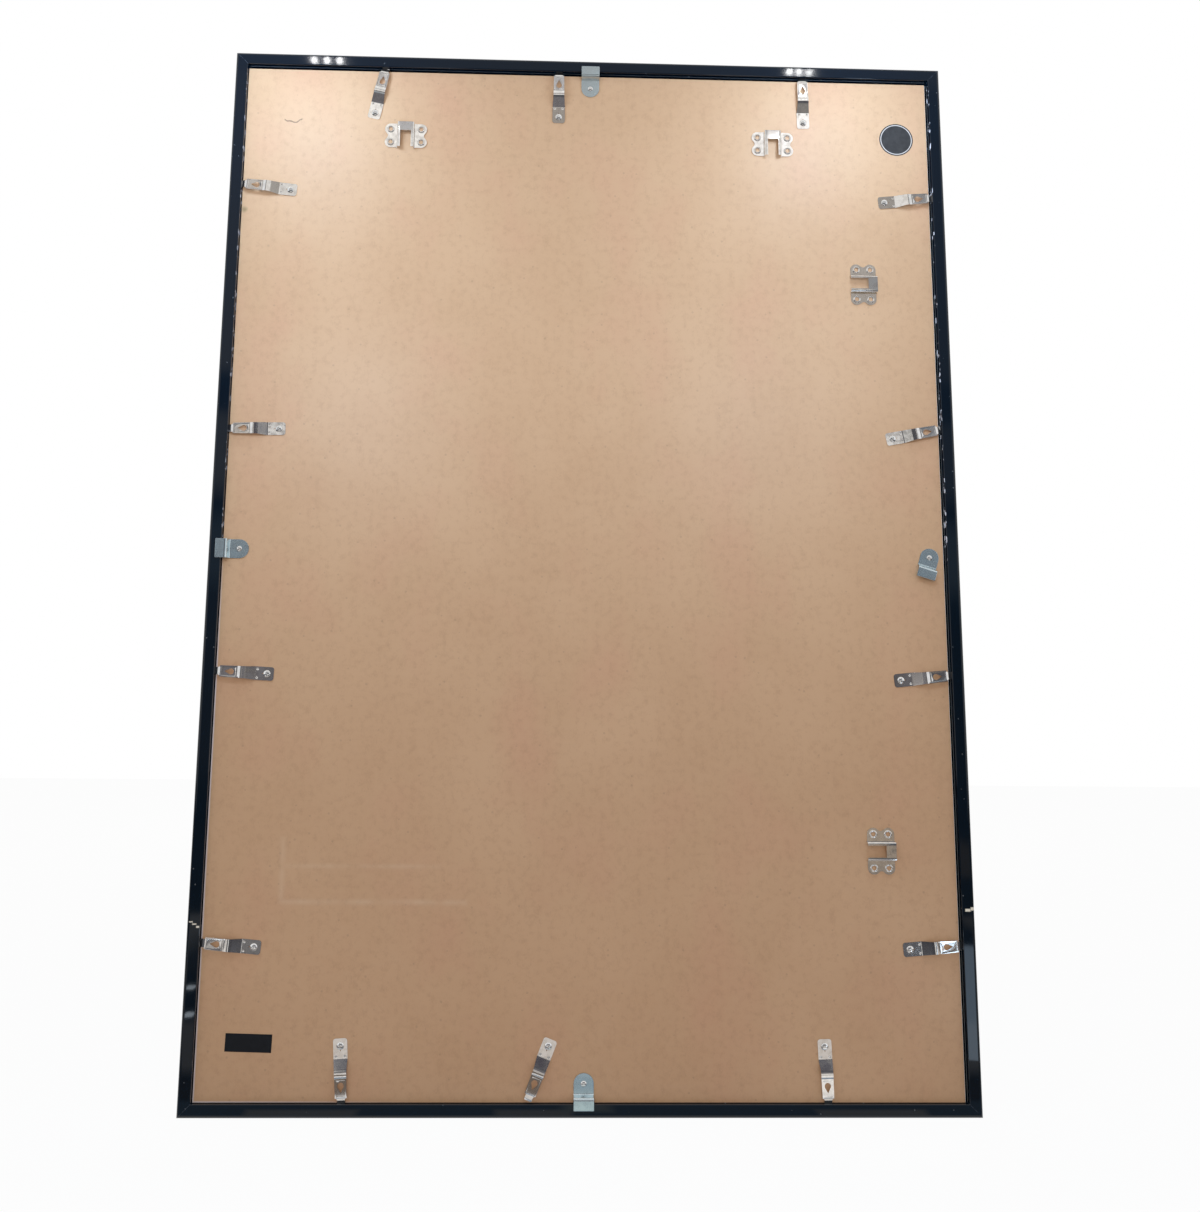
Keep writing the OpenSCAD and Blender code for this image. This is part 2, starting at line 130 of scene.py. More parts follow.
def arc(x, y, radius, start, end, steps):
    angles = [radians(start + (end - start) * step / steps) for step in range(steps + 1)]
    return [(x + radius * cos(angle), y + radius * sin(angle)) for angle in angles]


def dome(radius, foot, rise, steps):
    # the outline of a low head, from beside its dimple down to its rim
    start, end = modelling["domeFrom"], modelling["domeTo"]
    angles = [radians(start + (end - start) * step / steps) for step in range(steps + 1)]
    return [(radius * sin(angle), foot + rise * cos(angle)) for angle in angles]


def turnProfile(name, profile, steps):
    # spins a closed half section, given as radius and height, round the rivet's axis
    drawLine(name, [(radius, height, 0) for radius, height in profile])
    bpy.ops.mesh.spin(steps=steps, angle=2 * pi, center=(0, 0, 0), axis=(0, 1, 0))
    return closeShape()


def raisedOutline(name, points, low, high):
    # a closed outline on the board's plane, filled and raised
    drawLine(name, [(x, low, z) for x, z in points])
    bpy.ops.mesh.edge_face_add()
    push(0, high - low, 0)
    return closeShape()


def finishWith(shape, kind, **settings):
    bpy.context.view_layer.objects.active = shape
    modifier = shape.modifiers.new(kind.title(), kind)
    for key, value in settings.items():
        setattr(modifier, key, value)
    bpy.ops.object.modifier_apply(modifier=modifier.name)


def joinAll(shapes):
    startFresh()
    for shape in shapes:
        shape.select_set(True)
    bpy.context.view_layer.objects.active = shapes[0]
    bpy.ops.object.join()
    return shapes[0]


def cutAway(shape, cutters, operation="DIFFERENCE"):
    cutter = joinAll(cutters)
    finishWith(shape, "BOOLEAN", object=cutter, operation=operation, solver="EXACT")
    bpy.data.objects.remove(cutter, do_unlink=True)


def teardrop(radius, tip, z, high):
    # cutter for a round hole drawn out to a point
    low = -modelling["beyond"]
    startFresh()
    bpy.ops.mesh.primitive_circle_add(vertices=48, radius=radius * mm, fill_type="NGON",
                                      rotation=(pi / 2, 0, 0), location=(0, low * mm, 0))
    editShape("teardrop")
    pick("VERT", lambda spot: spot.z > radius * radius / tip)
    bpy.ops.transform.resize(value=(0, 1, 0), center_override=(0, low * mm, 0))
    bpy.ops.mesh.merge(type="CENTER")
    bpy.ops.transform.translate(value=(0, 0, tip * mm))
    bpy.ops.mesh.select_all(action="SELECT")
    bpy.ops.transform.translate(value=(0, 0, z * mm))
    push(0, high - low, 0)
    return closeShape()


def roundPost(radius, x, z, high):
    # cutter for a round hole
    startFresh()
    bpy.ops.mesh.primitive_cylinder_add(
        vertices=32, radius=radius * mm, depth=(high + 2 * modelling["beyond"]) * mm,
        rotation=(pi / 2, 0, 0), location=(x * mm, high * mm / 2, z * mm))
    bpy.ops.object.transform_apply(location=True, rotation=True, scale=True)
    return bpy.context.object


def shallowPan(half, low, high, lowHeight, highHeight, flare):
    # cutter for a pressed pan, whose sides spread by the flare on their way up
    drawLine("pan", [(-half, lowHeight, low), (half, lowHeight, low),
                     (half, highHeight, high), (-half, highHeight, high)])
    bpy.ops.mesh.edge_face_add()
    push(0, modelling["beyond"], 0)
    bpy.ops.transform.resize(value=(1 + flare / half, 1, 1 + 2 * flare / (high - low)),
                             center_override=(0, 0, (low + high) / 2 * mm))
    return closeShape()


def thicken(shape, thickness):
    # the sheet grows away from the board
    bpy.ops.object.mode_set(mode="EDIT")
    bpy.ops.mesh.select_all(action="SELECT")
    bpy.ops.mesh.normals_make_consistent(inside=False)
    bpy.ops.object.mode_set(mode="OBJECT")
    if sum(face.normal.y * face.area for face in shape.data.polygons) < 0:
        bpy.ops.object.mode_set(mode="EDIT")
        bpy.ops.mesh.flip_normals()
        bpy.ops.object.mode_set(mode="OBJECT")
    finishWith(shape, "SOLIDIFY", thickness=thickness * mm, offset=1, use_even_offset=True)


def easeEdges(shape, width):
    finishWith(shape, "BEVEL", width=width * mm, segments=2, limit_method="ANGLE",
               angle_limit=radians(modelling["easeAngle"]))
    startFresh()
    shape.select_set(True)
    bpy.context.view_layer.objects.active = shape
    bpy.ops.object.shade_smooth_by_angle(angle=radians(modelling["smoothAngle"]))
    finishWith(shape, "WEIGHTED_NORMAL", keep_sharp=True)


def placeCopy(shape, name, spot, turn):
    mesh = shape.data.copy()
    mesh.transform(onBack(*spot, turn))
    copy = bpy.data.objects.new(name, mesh)
    bpy.context.collection.objects.link(copy)
    return copy


# Spring clips: a stepped strip of plated steel whose tongue goes into the rail's groove
springClip = {
    # height over the board and place along the strip, from the tail to the tongue
    "line": ((0.1, -6.5), (0.1, 11.2), (4.0, 20.8), (4.6, 23.4), (4.1, 25.9), (3.8, 26.9), (3.5, 43.7),
             (2.0, 47.4), (2.0, 49.5)),
    "thickness": 0.8,
    "width": 12.8,
    "narrowing": ((20.8, 11.3), (23.4, 11.2), (25.9, 11.1), (26.9, 11.06), (43.7, 10.5)),  # place, width
    "tongue": 7.2,
    "tongueChamfer": 0.8,
    "tailCorner": 2.5,
    # radius and places
    "bends": ((0.6, (11.2,)), (1.4, (20.8,)), (1.1, (23.4,)), (0.4, (25.9, 26.9)), (0.8, (43.7, 47.4))),
    "pivotHole": (2.0, 4.8, 0),  # radius, point and place
    "noseHole": (2.85, 6.15, 33.2),
    "pips": (1.9, 0.5, 4.0, 9.2),  # radius, depth, sideways and place
    "pan": (3.85, 28.9, 42.0, 4.244, 4.01, 1.5),  # half width, both ends, heights there and flare
    "cutHeight": 6,
    "edge": 0.32,
}


def makeSpringClip():
    half, tongue = springClip["width"] / 2, springClip["tongue"] / 2
    (foot, tail), tip = springClip["line"][0], springClip["line"][-1][1]
    shoulder = springClip["narrowing"][-1][0]
    drawLine("springClip", [(-half, y, z) for y, z in springClip["line"]])
    for step in (half - tongue, 2 * tongue, half - tongue):
        push(step)
    pick("FACE", lambda spot: spot.z > shoulder and abs(spot.x) > tongue)
    bpy.ops.mesh.delete(type="FACE")
    for row, width in springClip["narrowing"]:
        pick("VERT", lambda spot: near(spot.z, row) and abs(spot.x) > (half + tongue) / 2)
        bpy.ops.transform.resize(value=(width / springClip["width"], 1, 1), center_override=(0, 0, 0))
    for radius, rows in springClip["bends"]:
        pick("EDGE", lambda spot: near(spot.z, *rows))
        bpy.ops.mesh.bevel(offset=radius * mm, segments=4, affect="EDGES")
    pick("VERT", lambda spot: near(spot.z, tail) and near(abs(spot.x), half))
    bpy.ops.mesh.bevel(offset=springClip["tailCorner"] * mm, segments=8, affect="VERTICES")
    pick("VERT", lambda spot: near(spot.z, tip))
    bpy.ops.mesh.bevel(offset=springClip["tongueChamfer"] * mm, segments=1, affect="VERTICES")
    bpy.ops.object.mode_set(mode="OBJECT")
    shape = bpy.context.object
    thicken(shape, springClip["thickness"])
    radius, depth, across, up = springClip["pips"]
    height = foot + springClip["thickness"] - depth + radius
    cutters = [teardrop(*springClip[hole], springClip["cutHeight"]) for hole in ("pivotHole", "noseHole")]
    for side in (-1, 1):
        startFresh()
        bpy.ops.mesh.primitive_uv_sphere_add(segments=20, ring_count=12, radius=radius * mm,
                                             location=(side * across * mm, height * mm, up * mm))
        bpy.ops.object.transform_apply(location=True, rotation=True, scale=True)
        cutters.append(bpy.context.object)
    cutAway(shape, cutters)
    cutAway(shape, [shallowPan(*springClip["pan"])])
    easeEdges(shape, springClip["edge"])
    return shape


# the rivets' places in each row, the row's own turn and each clip's tilt
clipXs, clipZs = (220.41, 32.4, -220.41), (367.0, 119.0, -119.0, -367.0)
clipRows = {
    "top": ([(x, place["clipUp"]) for x in clipXs], 0, (-12, 0, 1)),
    "left": ([(place["clipAcross"], z) for z in clipZs], 90, (-5, 1, -3, -5)),
    "bottom": ([(x, -place["clipUp"]) for x in clipXs], 180, (3.5, -21.5, 2)),
    "right": ([(-place["clipAcross"], z) for z in clipZs], -90, (5.5, 11, 6, 5)),
}
clips, clipSpots = [], []
pattern = makeSpringClip()
for row, (spots, square, tilts) in clipRows.items():
    for number, (spot, tilt) in enumerate(zip(spots, tilts), 1):
        node = "clip_%s_%d" % (row, number)
        clip = placeCopy(pattern, "springClip_%s_%d" % (row, number), spot, square + tilt)
        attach(clip, node)
        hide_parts(node)
        clips.append(clip)
        clipSpots.append(spot)
bpy.data.objects.remove(pattern, do_unlink=True)
print("spring clips made:", len(clips))

# Turn buttons: a flat round tail, a joggle and a lip over the rim
turnButton = {
    "line": ((0.1, -9.25), (0.1, 9.5), (5.8, 12.1), (5.8, 21.5)),
    "thickness": 1.0,
    "width": 18.5,
    "lipCorner": 0.7,
    "bends": (1.3, (9.5, 12.1)),
    "hole": 1.65,
    "cutHeight": 6,
    "edge": 0.3,
}


def makeTurnButton():
    half, lip = turnButton["width"] / 2, turnButton["line"][-1][1]
    drawLine("turnButton", [(-half, y, z) for y, z in turnButton["line"]])
    push(2 * half)
    radius, rows = turnButton["bends"]
    pick("EDGE", lambda spot: near(spot.z, *rows))
    bpy.ops.mesh.bevel(offset=radius * mm, segments=5, affect="EDGES")
    pick("VERT", lambda spot: near(spot.z, -half))
    bpy.ops.mesh.bevel(offset=(half - modelling["matchWithin"]) * mm, segments=20, affect="VERTICES")
    pick("VERT", lambda spot: near(spot.z, lip))
    bpy.ops.mesh.bevel(offset=turnButton["lipCorner"] * mm, segments=4, affect="VERTICES")
    bpy.ops.object.mode_set(mode="OBJECT")
    shape = bpy.context.object
    thicken(shape, turnButton["thickness"])
    cutAway(shape, [roundPost(turnButton["hole"], 0, 0, turnButton["cutHeight"])])
    easeEdges(shape, turnButton["edge"])
    return shape


buttonRows = {
    "top": ((0, place["buttonUp"]), 0),
    "left": ((place["buttonAcross"], 0), 90),
    "bottom": ((0, -place["buttonUp"]), 180),
    "right": ((-place["buttonAcross"], 0), -196.7),
}
buttons, buttonSpots = [], []
pattern = makeTurnButton()
for row, (spot, turn) in buttonRows.items():
    button = placeCopy(pattern, "turnButton_" + row, spot, turn)
    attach(button, "button_" + row)
    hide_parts("button_" + row)
    buttons.append(button)
    buttonSpots.append(spot)
bpy.data.objects.remove(pattern, do_unlink=True)
print("turn buttons made:", len(buttons))

# Hangers: a stamped hat with an open notch under its bar, and two lobed wings
strapHanger = {
    "reach": 21.4,
    "wall": 7.75,
    "rise": 4.2,
    "notch": 5.4,
    "leg": 27,
    "bar": 9.5,
    "lean": 0.45,
    "thickness": 1.0,
    "bend": 0.9,
    "lobe": 5.9,
    "lobeAt": (15.5, 7.0),
    "lobeEnd": 36,
    "waist": ((19.35, -2.5), (18.6, -1.2), (18.3, 0), (18.6, 1.2), (19.35, 2.5)),
    "wingFoot": 8.0,
    "bridge": (9.3, 14),
    "cutHeight": 7,
    "eyelet": 2.4,
    "eyeletHeight": 3,
    "edge": 0.26,
}


def makeHanger():
    leg, bar, wall, rise = (strapHanger[key] for key in ("leg", "bar", "wall", "rise"))
    oneSide = [(strapHanger["notch"], rise), (wall, rise), (wall, 0), (strapHanger["reach"], 0)]
    across = [(-x, y) for x, y in reversed(oneSide)] + oneSide
    drawLine("strapHanger", [(x, y, -leg / 2) for x, y in across])
    push(0, 0, leg - bar)
    push(0, 0, bar)
    pick("VERT", lambda spot: near(spot.z, leg / 2) and near(spot.y, rise))
    bpy.ops.transform.translate(value=(0, -strapHanger["lean"] * mm, 0))
    pick("FACE", lambda spot: near(spot.x, 0) and spot.z < leg / 2 - bar)
    bpy.ops.mesh.delete(type="FACE")
    # the four bends along the walls, and not the walls' own upright edges
    pick("EDGE", lambda spot: near(abs(spot.x), wall) and abs(spot.y - rise / 2) > rise / 4)
    bpy.ops.mesh.bevel(offset=strapHanger["bend"] * mm, segments=4, affect="EDGES")
    bpy.ops.object.mode_set(mode="OBJECT")
    shape = bpy.context.object
    thicken(shape, strapHanger["thickness"])
    (x, z), lobe, end = strapHanger["lobeAt"], strapHanger["lobe"], strapHanger["lobeEnd"]
    foot, (halfX, halfZ) = strapHanger["wingFoot"], strapHanger["bridge"]
    heights = -modelling["beyond"], strapHanger["cutHeight"]
    outlines = []
    for side in (-1, 1):
        points = [(foot, -z - lobe)] + arc(x, -z, lobe, -90, end, 14) + list(strapHanger["waist"])
        points += arc(x, z, lobe, -end, 90, 14) + [(foot, z + lobe)]
        outlines.append(raisedOutline("wing", [(side * px, pz) for px, pz in points], *heights))
    corners = [(-halfX, -halfZ), (halfX, -halfZ), (halfX, halfZ), (-halfX, halfZ)]
    outlines.append(raisedOutline("bridge", corners, *heights))
    whole = outlines[0]
    for other in outlines[1:]:
        cutAway(whole, [other], "UNION")
    cutAway(shape, [whole], "INTERSECT")
    cutAway(shape, [roundPost(strapHanger["eyelet"], sideX * x, sideZ * z, strapHanger["eyeletHeight"])
                    for sideX in (-1, 1) for sideZ in (-1, 1)])
    easeEdges(shape, strapHanger["edge"])
    return shape


hangerRows = {
    "top_left": ((188.03, 428), 0), "top_right": ((-188.03, 428), 0),
    "side_upper": ((-278, 278.46), -90), "side_lower": ((-278, -278.46), -90),
}
hangers = []
pattern = makeHanger()
for row, (spot, turn) in hangerRows.items():
    hanger = placeCopy(pattern, "strapHanger_" + row, spot, turn)
    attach(hanger, "frame")
    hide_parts("hanger_" + row)
    hangers.append(hanger)
bpy.data.objects.remove(pattern, do_unlink=True)
print("hangers made:", len(hangers))


# Rivets and eyelets: half sections as radius and height, with the tail spread inside the board
spreadHeights = (-2.3, -2.8)


def clinchedTail(neck, top, spread, bore=0):
    # the outline from under the head to the end of the tail
    high, low = spreadHeights
    return [(neck, top), (neck, high), (spread, high), (spread, low), (bore, low)]


fasteners = {
    "clipRivet": [(0, 2.32), (0.35, 2.36)] + dome(3.4, 0.9, 1.65, 14) + clinchedTail(1.95, 0.95, 3.05),
    "buttonRivet": [(0, 2.4), (0.3, 2.42)] + dome(2.8, 1.15, 1.45, 14) + clinchedTail(1.6, 1.15, 2.7),
    "eyelet": arc(2.85, 1.0, 0.9, 180, 0, 12) + clinchedTail(2.4, 0.95, 3.5, 1.95) + [(1.95, 1.0)],
    "plug": [(0, 0.75), (1.2, 0.7), (1.93, 0.5), (1.93, -0.6), (0, -0.6)],
    "smoothAngle": 35,
}


def setFasteners(name, kind, spots, node, sides=40):
    pattern = turnProfile(kind, fasteners[kind], sides)
    whole = joinAll([placeCopy(pattern, name, spot, 0) for spot in spots])
    whole.name = name
    bpy.ops.object.shade_smooth_by_angle(angle=radians(fasteners["smoothAngle"]))
    bpy.data.objects.remove(pattern, do_unlink=True)
    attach(whole, "frame")
    if node:
        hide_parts(node)
    return whole


eyeletSpots = []
for (x, z), turn in hangerRows.values():
    for sideX in (-1, 1):
        for sideZ in (-1, 1):
            across, up = strapHanger["lobeAt"][0] * sideX, strapHanger["lobeAt"][1] * sideZ
            if turn:
                # the side hangers lie a quarter turn round
                across, up = -up, across
            eyeletSpots.append((x + across, z + up))
clipRivets = setFasteners("clipRivets", "clipRivet", clipSpots, "clip_rivets")
buttonRivets = setFasteners("buttonRivets", "buttonRivet", buttonSpots, "button_rivets")
eyelets = setFasteners("hangerEyelets", "eyelet", eyeletSpots, "hanger_eyelets")
plugs = setFasteners("boardPlugs", "plug", eyeletSpots, None, sides=24)
print("rivets and eyelets made")


# Small helpers for the node trees
def addNode(tree, kind, **settings):
    node = tree.nodes.new(kind)
    for key, value in settings.items():
        setattr(node, key, value)
    return node


def join(tree, source, target):
    tree.links.new(source, target)


def calculate(tree, operation, a, b=None, c=None):
    node = addNode(tree, "ShaderNodeMath", operation=operation)
    for slot, value in enumerate((a, b, c)):
        if value is None:
            continue
        if isinstance(value, (int, float)):
            node.inputs[slot].default_value = value
        else:
            join(tree, value, node.inputs[slot])
    return node.outputs[0]


def blendColour(tree, mask, under, over):
    node = addNode(tree, "ShaderNodeMix", data_type="RGBA")
    for socket, value in ((node.inputs[0], mask), (node.inputs[6], under), (node.inputs[7], over)):
        if isinstance(value, (tuple, list)):
            socket.default_value = (*value[:3], 1)
        elif isinstance(value, (int, float)):
            socket.default_value = value
        else:
            join(tree, value, socket)
    return node.outputs[2]


def cover(tree, mask, share, under, over):
    # lays a colour over another where the mask says, and no further than its share
    return blendColour(tree, calculate(tree, "MULTIPLY", mask, share), under, over)


def ramp(tree, value, low, high):
    node = addNode(tree, "ShaderNodeMapRange")
    join(tree, value, node.inputs[0])
    node.inputs[1].default_value = low
    node.inputs[2].default_value = high
    return node.outputs[0]


def stretched(tree, vector, size):
    node = addNode(tree, "ShaderNodeMapping", vector_type="POINT")
    join(tree, vector, node.inputs[0])
    node.inputs["Scale"].default_value = size
    return node.outputs[0]


def noise(tree, vector, scale, detail=3, rough=0.55):
    node = addNode(tree, "ShaderNodeTexNoise")
    join(tree, vector, node.inputs["Vector"])
    node.inputs["Scale"].default_value = scale
    node.inputs["Detail"].default_value = detail
    node.inputs["Roughness"].default_value = rough
    return node.outputs["Fac"]


def newGroup(name, inputs, outputs):
    tree = bpy.data.node_groups.new(name, "ShaderNodeTree")
    for label, kind, value in inputs:
        socket = tree.interface.new_socket(label, in_out="INPUT", socket_type=kind)
        if value is not None:
            socket.default_value = value
    for label, kind in outputs:
        tree.interface.new_socket(label, in_out="OUTPUT", socket_type=kind)
    return tree, addNode(tree, "NodeGroupInput").outputs, addNode(tree, "NodeGroupOutput").inputs


number, colour, vector = "NodeSocketFloat", "NodeSocketColor", "NodeSocketVector"
groupSet = {
    "streakStretch": (1, 1, 0.12),
    "streakDetail": 4,
    "streakShare": 0.18,
    "cloud": (170, 3),
    "stainRange": (0.42, 0.72),
    "stainShare": 0.45,
    "speckSpread": 0.22,
    "speckLeast": 0.08,
}


def makePlatingGroup():
    # streaks, cloudy tarnish and fine handling marks of plated steel
    tree, given, out = newGroup("platedSteel", [
        ("Vector", vector, None), ("Tint", colour, (0.8, 0.8, 0.8, 1)),
        ("Tarnish", colour, (0.5, 0.5, 0.5, 1)), ("Streak Scale", number, 900.0),
        ("Polish", number, 0.15), ("Dullness", number, 0.2)],
        [("Color", colour), ("Roughness", number), ("Height", number)])
    long = stretched(tree, given["Vector"], groupSet["streakStretch"])
    streak = addNode(tree, "ShaderNodeTexNoise")
    join(tree, long, streak.inputs["Vector"])
    join(tree, given["Streak Scale"], streak.inputs["Scale"])
    streak.inputs["Detail"].default_value = groupSet["streakDetail"]
    stain = ramp(tree, noise(tree, given["Vector"], *groupSet["cloud"]), *groupSet["stainRange"])
    tarnish = calculate(tree, "MULTIPLY", stain, groupSet["stainShare"])
    mixed = calculate(tree, "ADD", tarnish,
                      calculate(tree, "MULTIPLY", streak.outputs["Fac"], groupSet["streakShare"]))
    join(tree, blendColour(tree, mixed, given["Tint"], given["Tarnish"]), out["Color"])
    dull = calculate(tree, "MULTIPLY", mixed, given["Dullness"])
    join(tree, calculate(tree, "ADD", given["Polish"], dull), out["Roughness"])
    join(tree, streak.outputs["Fac"], out["Height"])
    return tree


def makeSpeckGroup():
    # scattered specks: fibres, dust or grit, by their size and how many there are
    tree, given, out = newGroup("fineSpecks", [
        ("Vector", vector, None), ("Scale", number, 300.0), ("Share", number, 0.1)], [("Mask", number)])
    cells = addNode(tree, "ShaderNodeTexVoronoi", feature="F1")
    join(tree, given["Vector"], cells.inputs["Vector"])
    join(tree, given["Scale"], cells.inputs["Scale"])
    chance = addNode(tree, "ShaderNodeSeparateColor")
    join(tree, cells.outputs["Color"], chance.inputs[0])
    chosen = calculate(tree, "LESS_THAN", chance.outputs[0], given["Share"])
    size = calculate(tree, "MULTIPLY_ADD", chance.outputs[1], groupSet["speckSpread"], groupSet["speckLeast"])
    close = calculate(tree, "LESS_THAN", cells.outputs["Distance"], size)
    join(tree, calculate(tree, "MULTIPLY", chosen, close), out["Mask"])
    return tree


def makeBandGroup():
    # 1 on the outline of an upright rectangle, falling to 0 within a width of it
    tree, given, out = newGroup("edgeBand", [
        ("Vector", vector, None), ("Middle X", number, 0.0), ("Middle Z", number, 0.0),
        ("Half Width", number, 0.1), ("Half Height", number, 0.1), ("Width", number, 0.001)],
        [("Mask", number), ("Inside", number)])
    split = addNode(tree, "ShaderNodeSeparateXYZ")
    join(tree, given["Vector"], split.inputs[0])
    gaps = []
    for axis, middle, half in ((0, "Middle X", "Half Width"), (2, "Middle Z", "Half Height")):
        away = calculate(tree, "ABSOLUTE", calculate(tree, "SUBTRACT", split.outputs[axis], given[middle]))
        gaps.append(calculate(tree, "SUBTRACT", away, given[half]))
    edge = calculate(tree, "MAXIMUM", gaps[0], gaps[1])
    inside = calculate(tree, "DIVIDE", edge, given["Width"])
    join(tree, calculate(tree, "SUBTRACT", 1, calculate(tree, "ABSOLUTE", inside)), out["Mask"])
    join(tree, calculate(tree, "MULTIPLY", inside, -1), out["Inside"])
    return tree


groups = {"plating": makePlatingGroup(), "specks": makeSpeckGroup(), "band": makeBandGroup()}
print("node groups built")


def placeGroup(tree, name, **values):
    node = addNode(tree, "ShaderNodeGroup", node_tree=groups[name])
    for key, value in values.items():
        socket = node.inputs[key]
        if hasattr(value, "is_linked"):
            join(tree, value, socket)
        else:
            socket.default_value = value
    return node.outputs


def newMaterial(name, **fixed):
    material = bpy.data.materials.new(name)
    material.use_nodes = True
    tree = material.node_tree
    shader = tree.nodes["Principled BSDF"]
    for key, value in fixed.items():
        shader.inputs[key].default_value = value
    where = addNode(tree, "ShaderNodeTexCoord").outputs["Object"]
    return material, tree, shader, where


def bump(tree, shader, height, strength, distance):
    node = addNode(tree, "ShaderNodeBump")
    join(tree, height, node.inputs["Height"])
    node.inputs["Strength"].default_value = strength
    node.inputs["Distance"].default_value = distance
    join(tree, node.outputs[0], shader.inputs["Normal"])


def patchMask(tree, split, centre, half, soft, axes=(0, 2)):
    # 1 inside a soft-edged rectangle, 0 outside
    gaps = []
    for axis, middle, reach in zip(axes, centre, half):
        away = calculate(tree, "ABSOLUTE", calculate(tree, "SUBTRACT", split.outputs[axis], middle))
        gaps.append(calculate(tree, "SUBTRACT", away, reach))
    return calculate(tree, "SUBTRACT", 1, ramp(tree, calculate(tree, "MAXIMUM", *gaps), -soft, soft))


def boardPatch(tree, split, spot, half, soft):
    # the same on the back, placed from the board's middle in millimetres
    (x, z), (halfX, halfZ) = spot, half
    return patchMask(tree, split, (x * mm, place["middleZ"] + z * mm), (halfX * mm, halfZ * mm), soft)


def scatter(tree, where, scale, share):
    # mask of fine specks, by how close they are and how many of them show
    return placeGroup(tree, "specks", Vector=where, Scale=scale, Share=share)["Mask"]


def roughen(tree, shader, value, spread, least):
    # the least roughness and what the pattern adds to it
    join(tree, calculate(tree, "MULTIPLY_ADD", value, spread, least), shader.inputs["Roughness"])


railFinish = {
    "black": (0.001, 0.0044, 0.0086),
    "roughness": 0.02,
    "smearRoughness": 0.05,
    "smear": (24, 4, 0.6),
    "ior": 1.4,
    "wave": (40, 2),
    "waveStrength": 0.02,
    "waveDepth": 0.6 * mm,
    # colour of the painted highlight beads on the upright rails' inner edge
    "beadHighlight": (0.62, 0.56, 0.55),
    "beadBand": 0.7 * mm,
    "beadStretch": (1, 1, 0.8),
    "beadNoise": (190, 1),
    "beadRange": (0.6, 0.66),
    "beadMiddle": -185 * mm,
    "beadReach": 250 * mm,
    "leftBeads": 0.45,
    "backDepth": -6 * mm,
    "dust": (0.12, 0.12, 0.12),
    "dustSpecks": (420.0, 0.02),
    "dustCover": 0.5,
    "dustRoughness": 0.3,
    "mitre": (0.05, 0.055, 0.065),
    "mitreLine": (0.1 * mm, 0.35 * mm),
    "mitreNoise": (300, 2),
    "mitreRange": (0.35, 0.6),
    # painted glints: small pale marks on the side rails standing in for reflections
    "paintedGlint": (0.72, 0.63, 0.5),
    "paintedGlintSoft": 0.35 * mm,
    # middle and half size in millimetres from the board's middle
    "paintedGlintSpots": (((-356.2, -330.8), (2.4, 1.2)), ((-361.2, -329.6), (2.2, 1.4)), ((359.2, -344.2), (1.6, 0.45)),
              ((356, -346.2), (1.8, 0.5)), ((352.8, -348.6), (1.3, 0.8))),
}


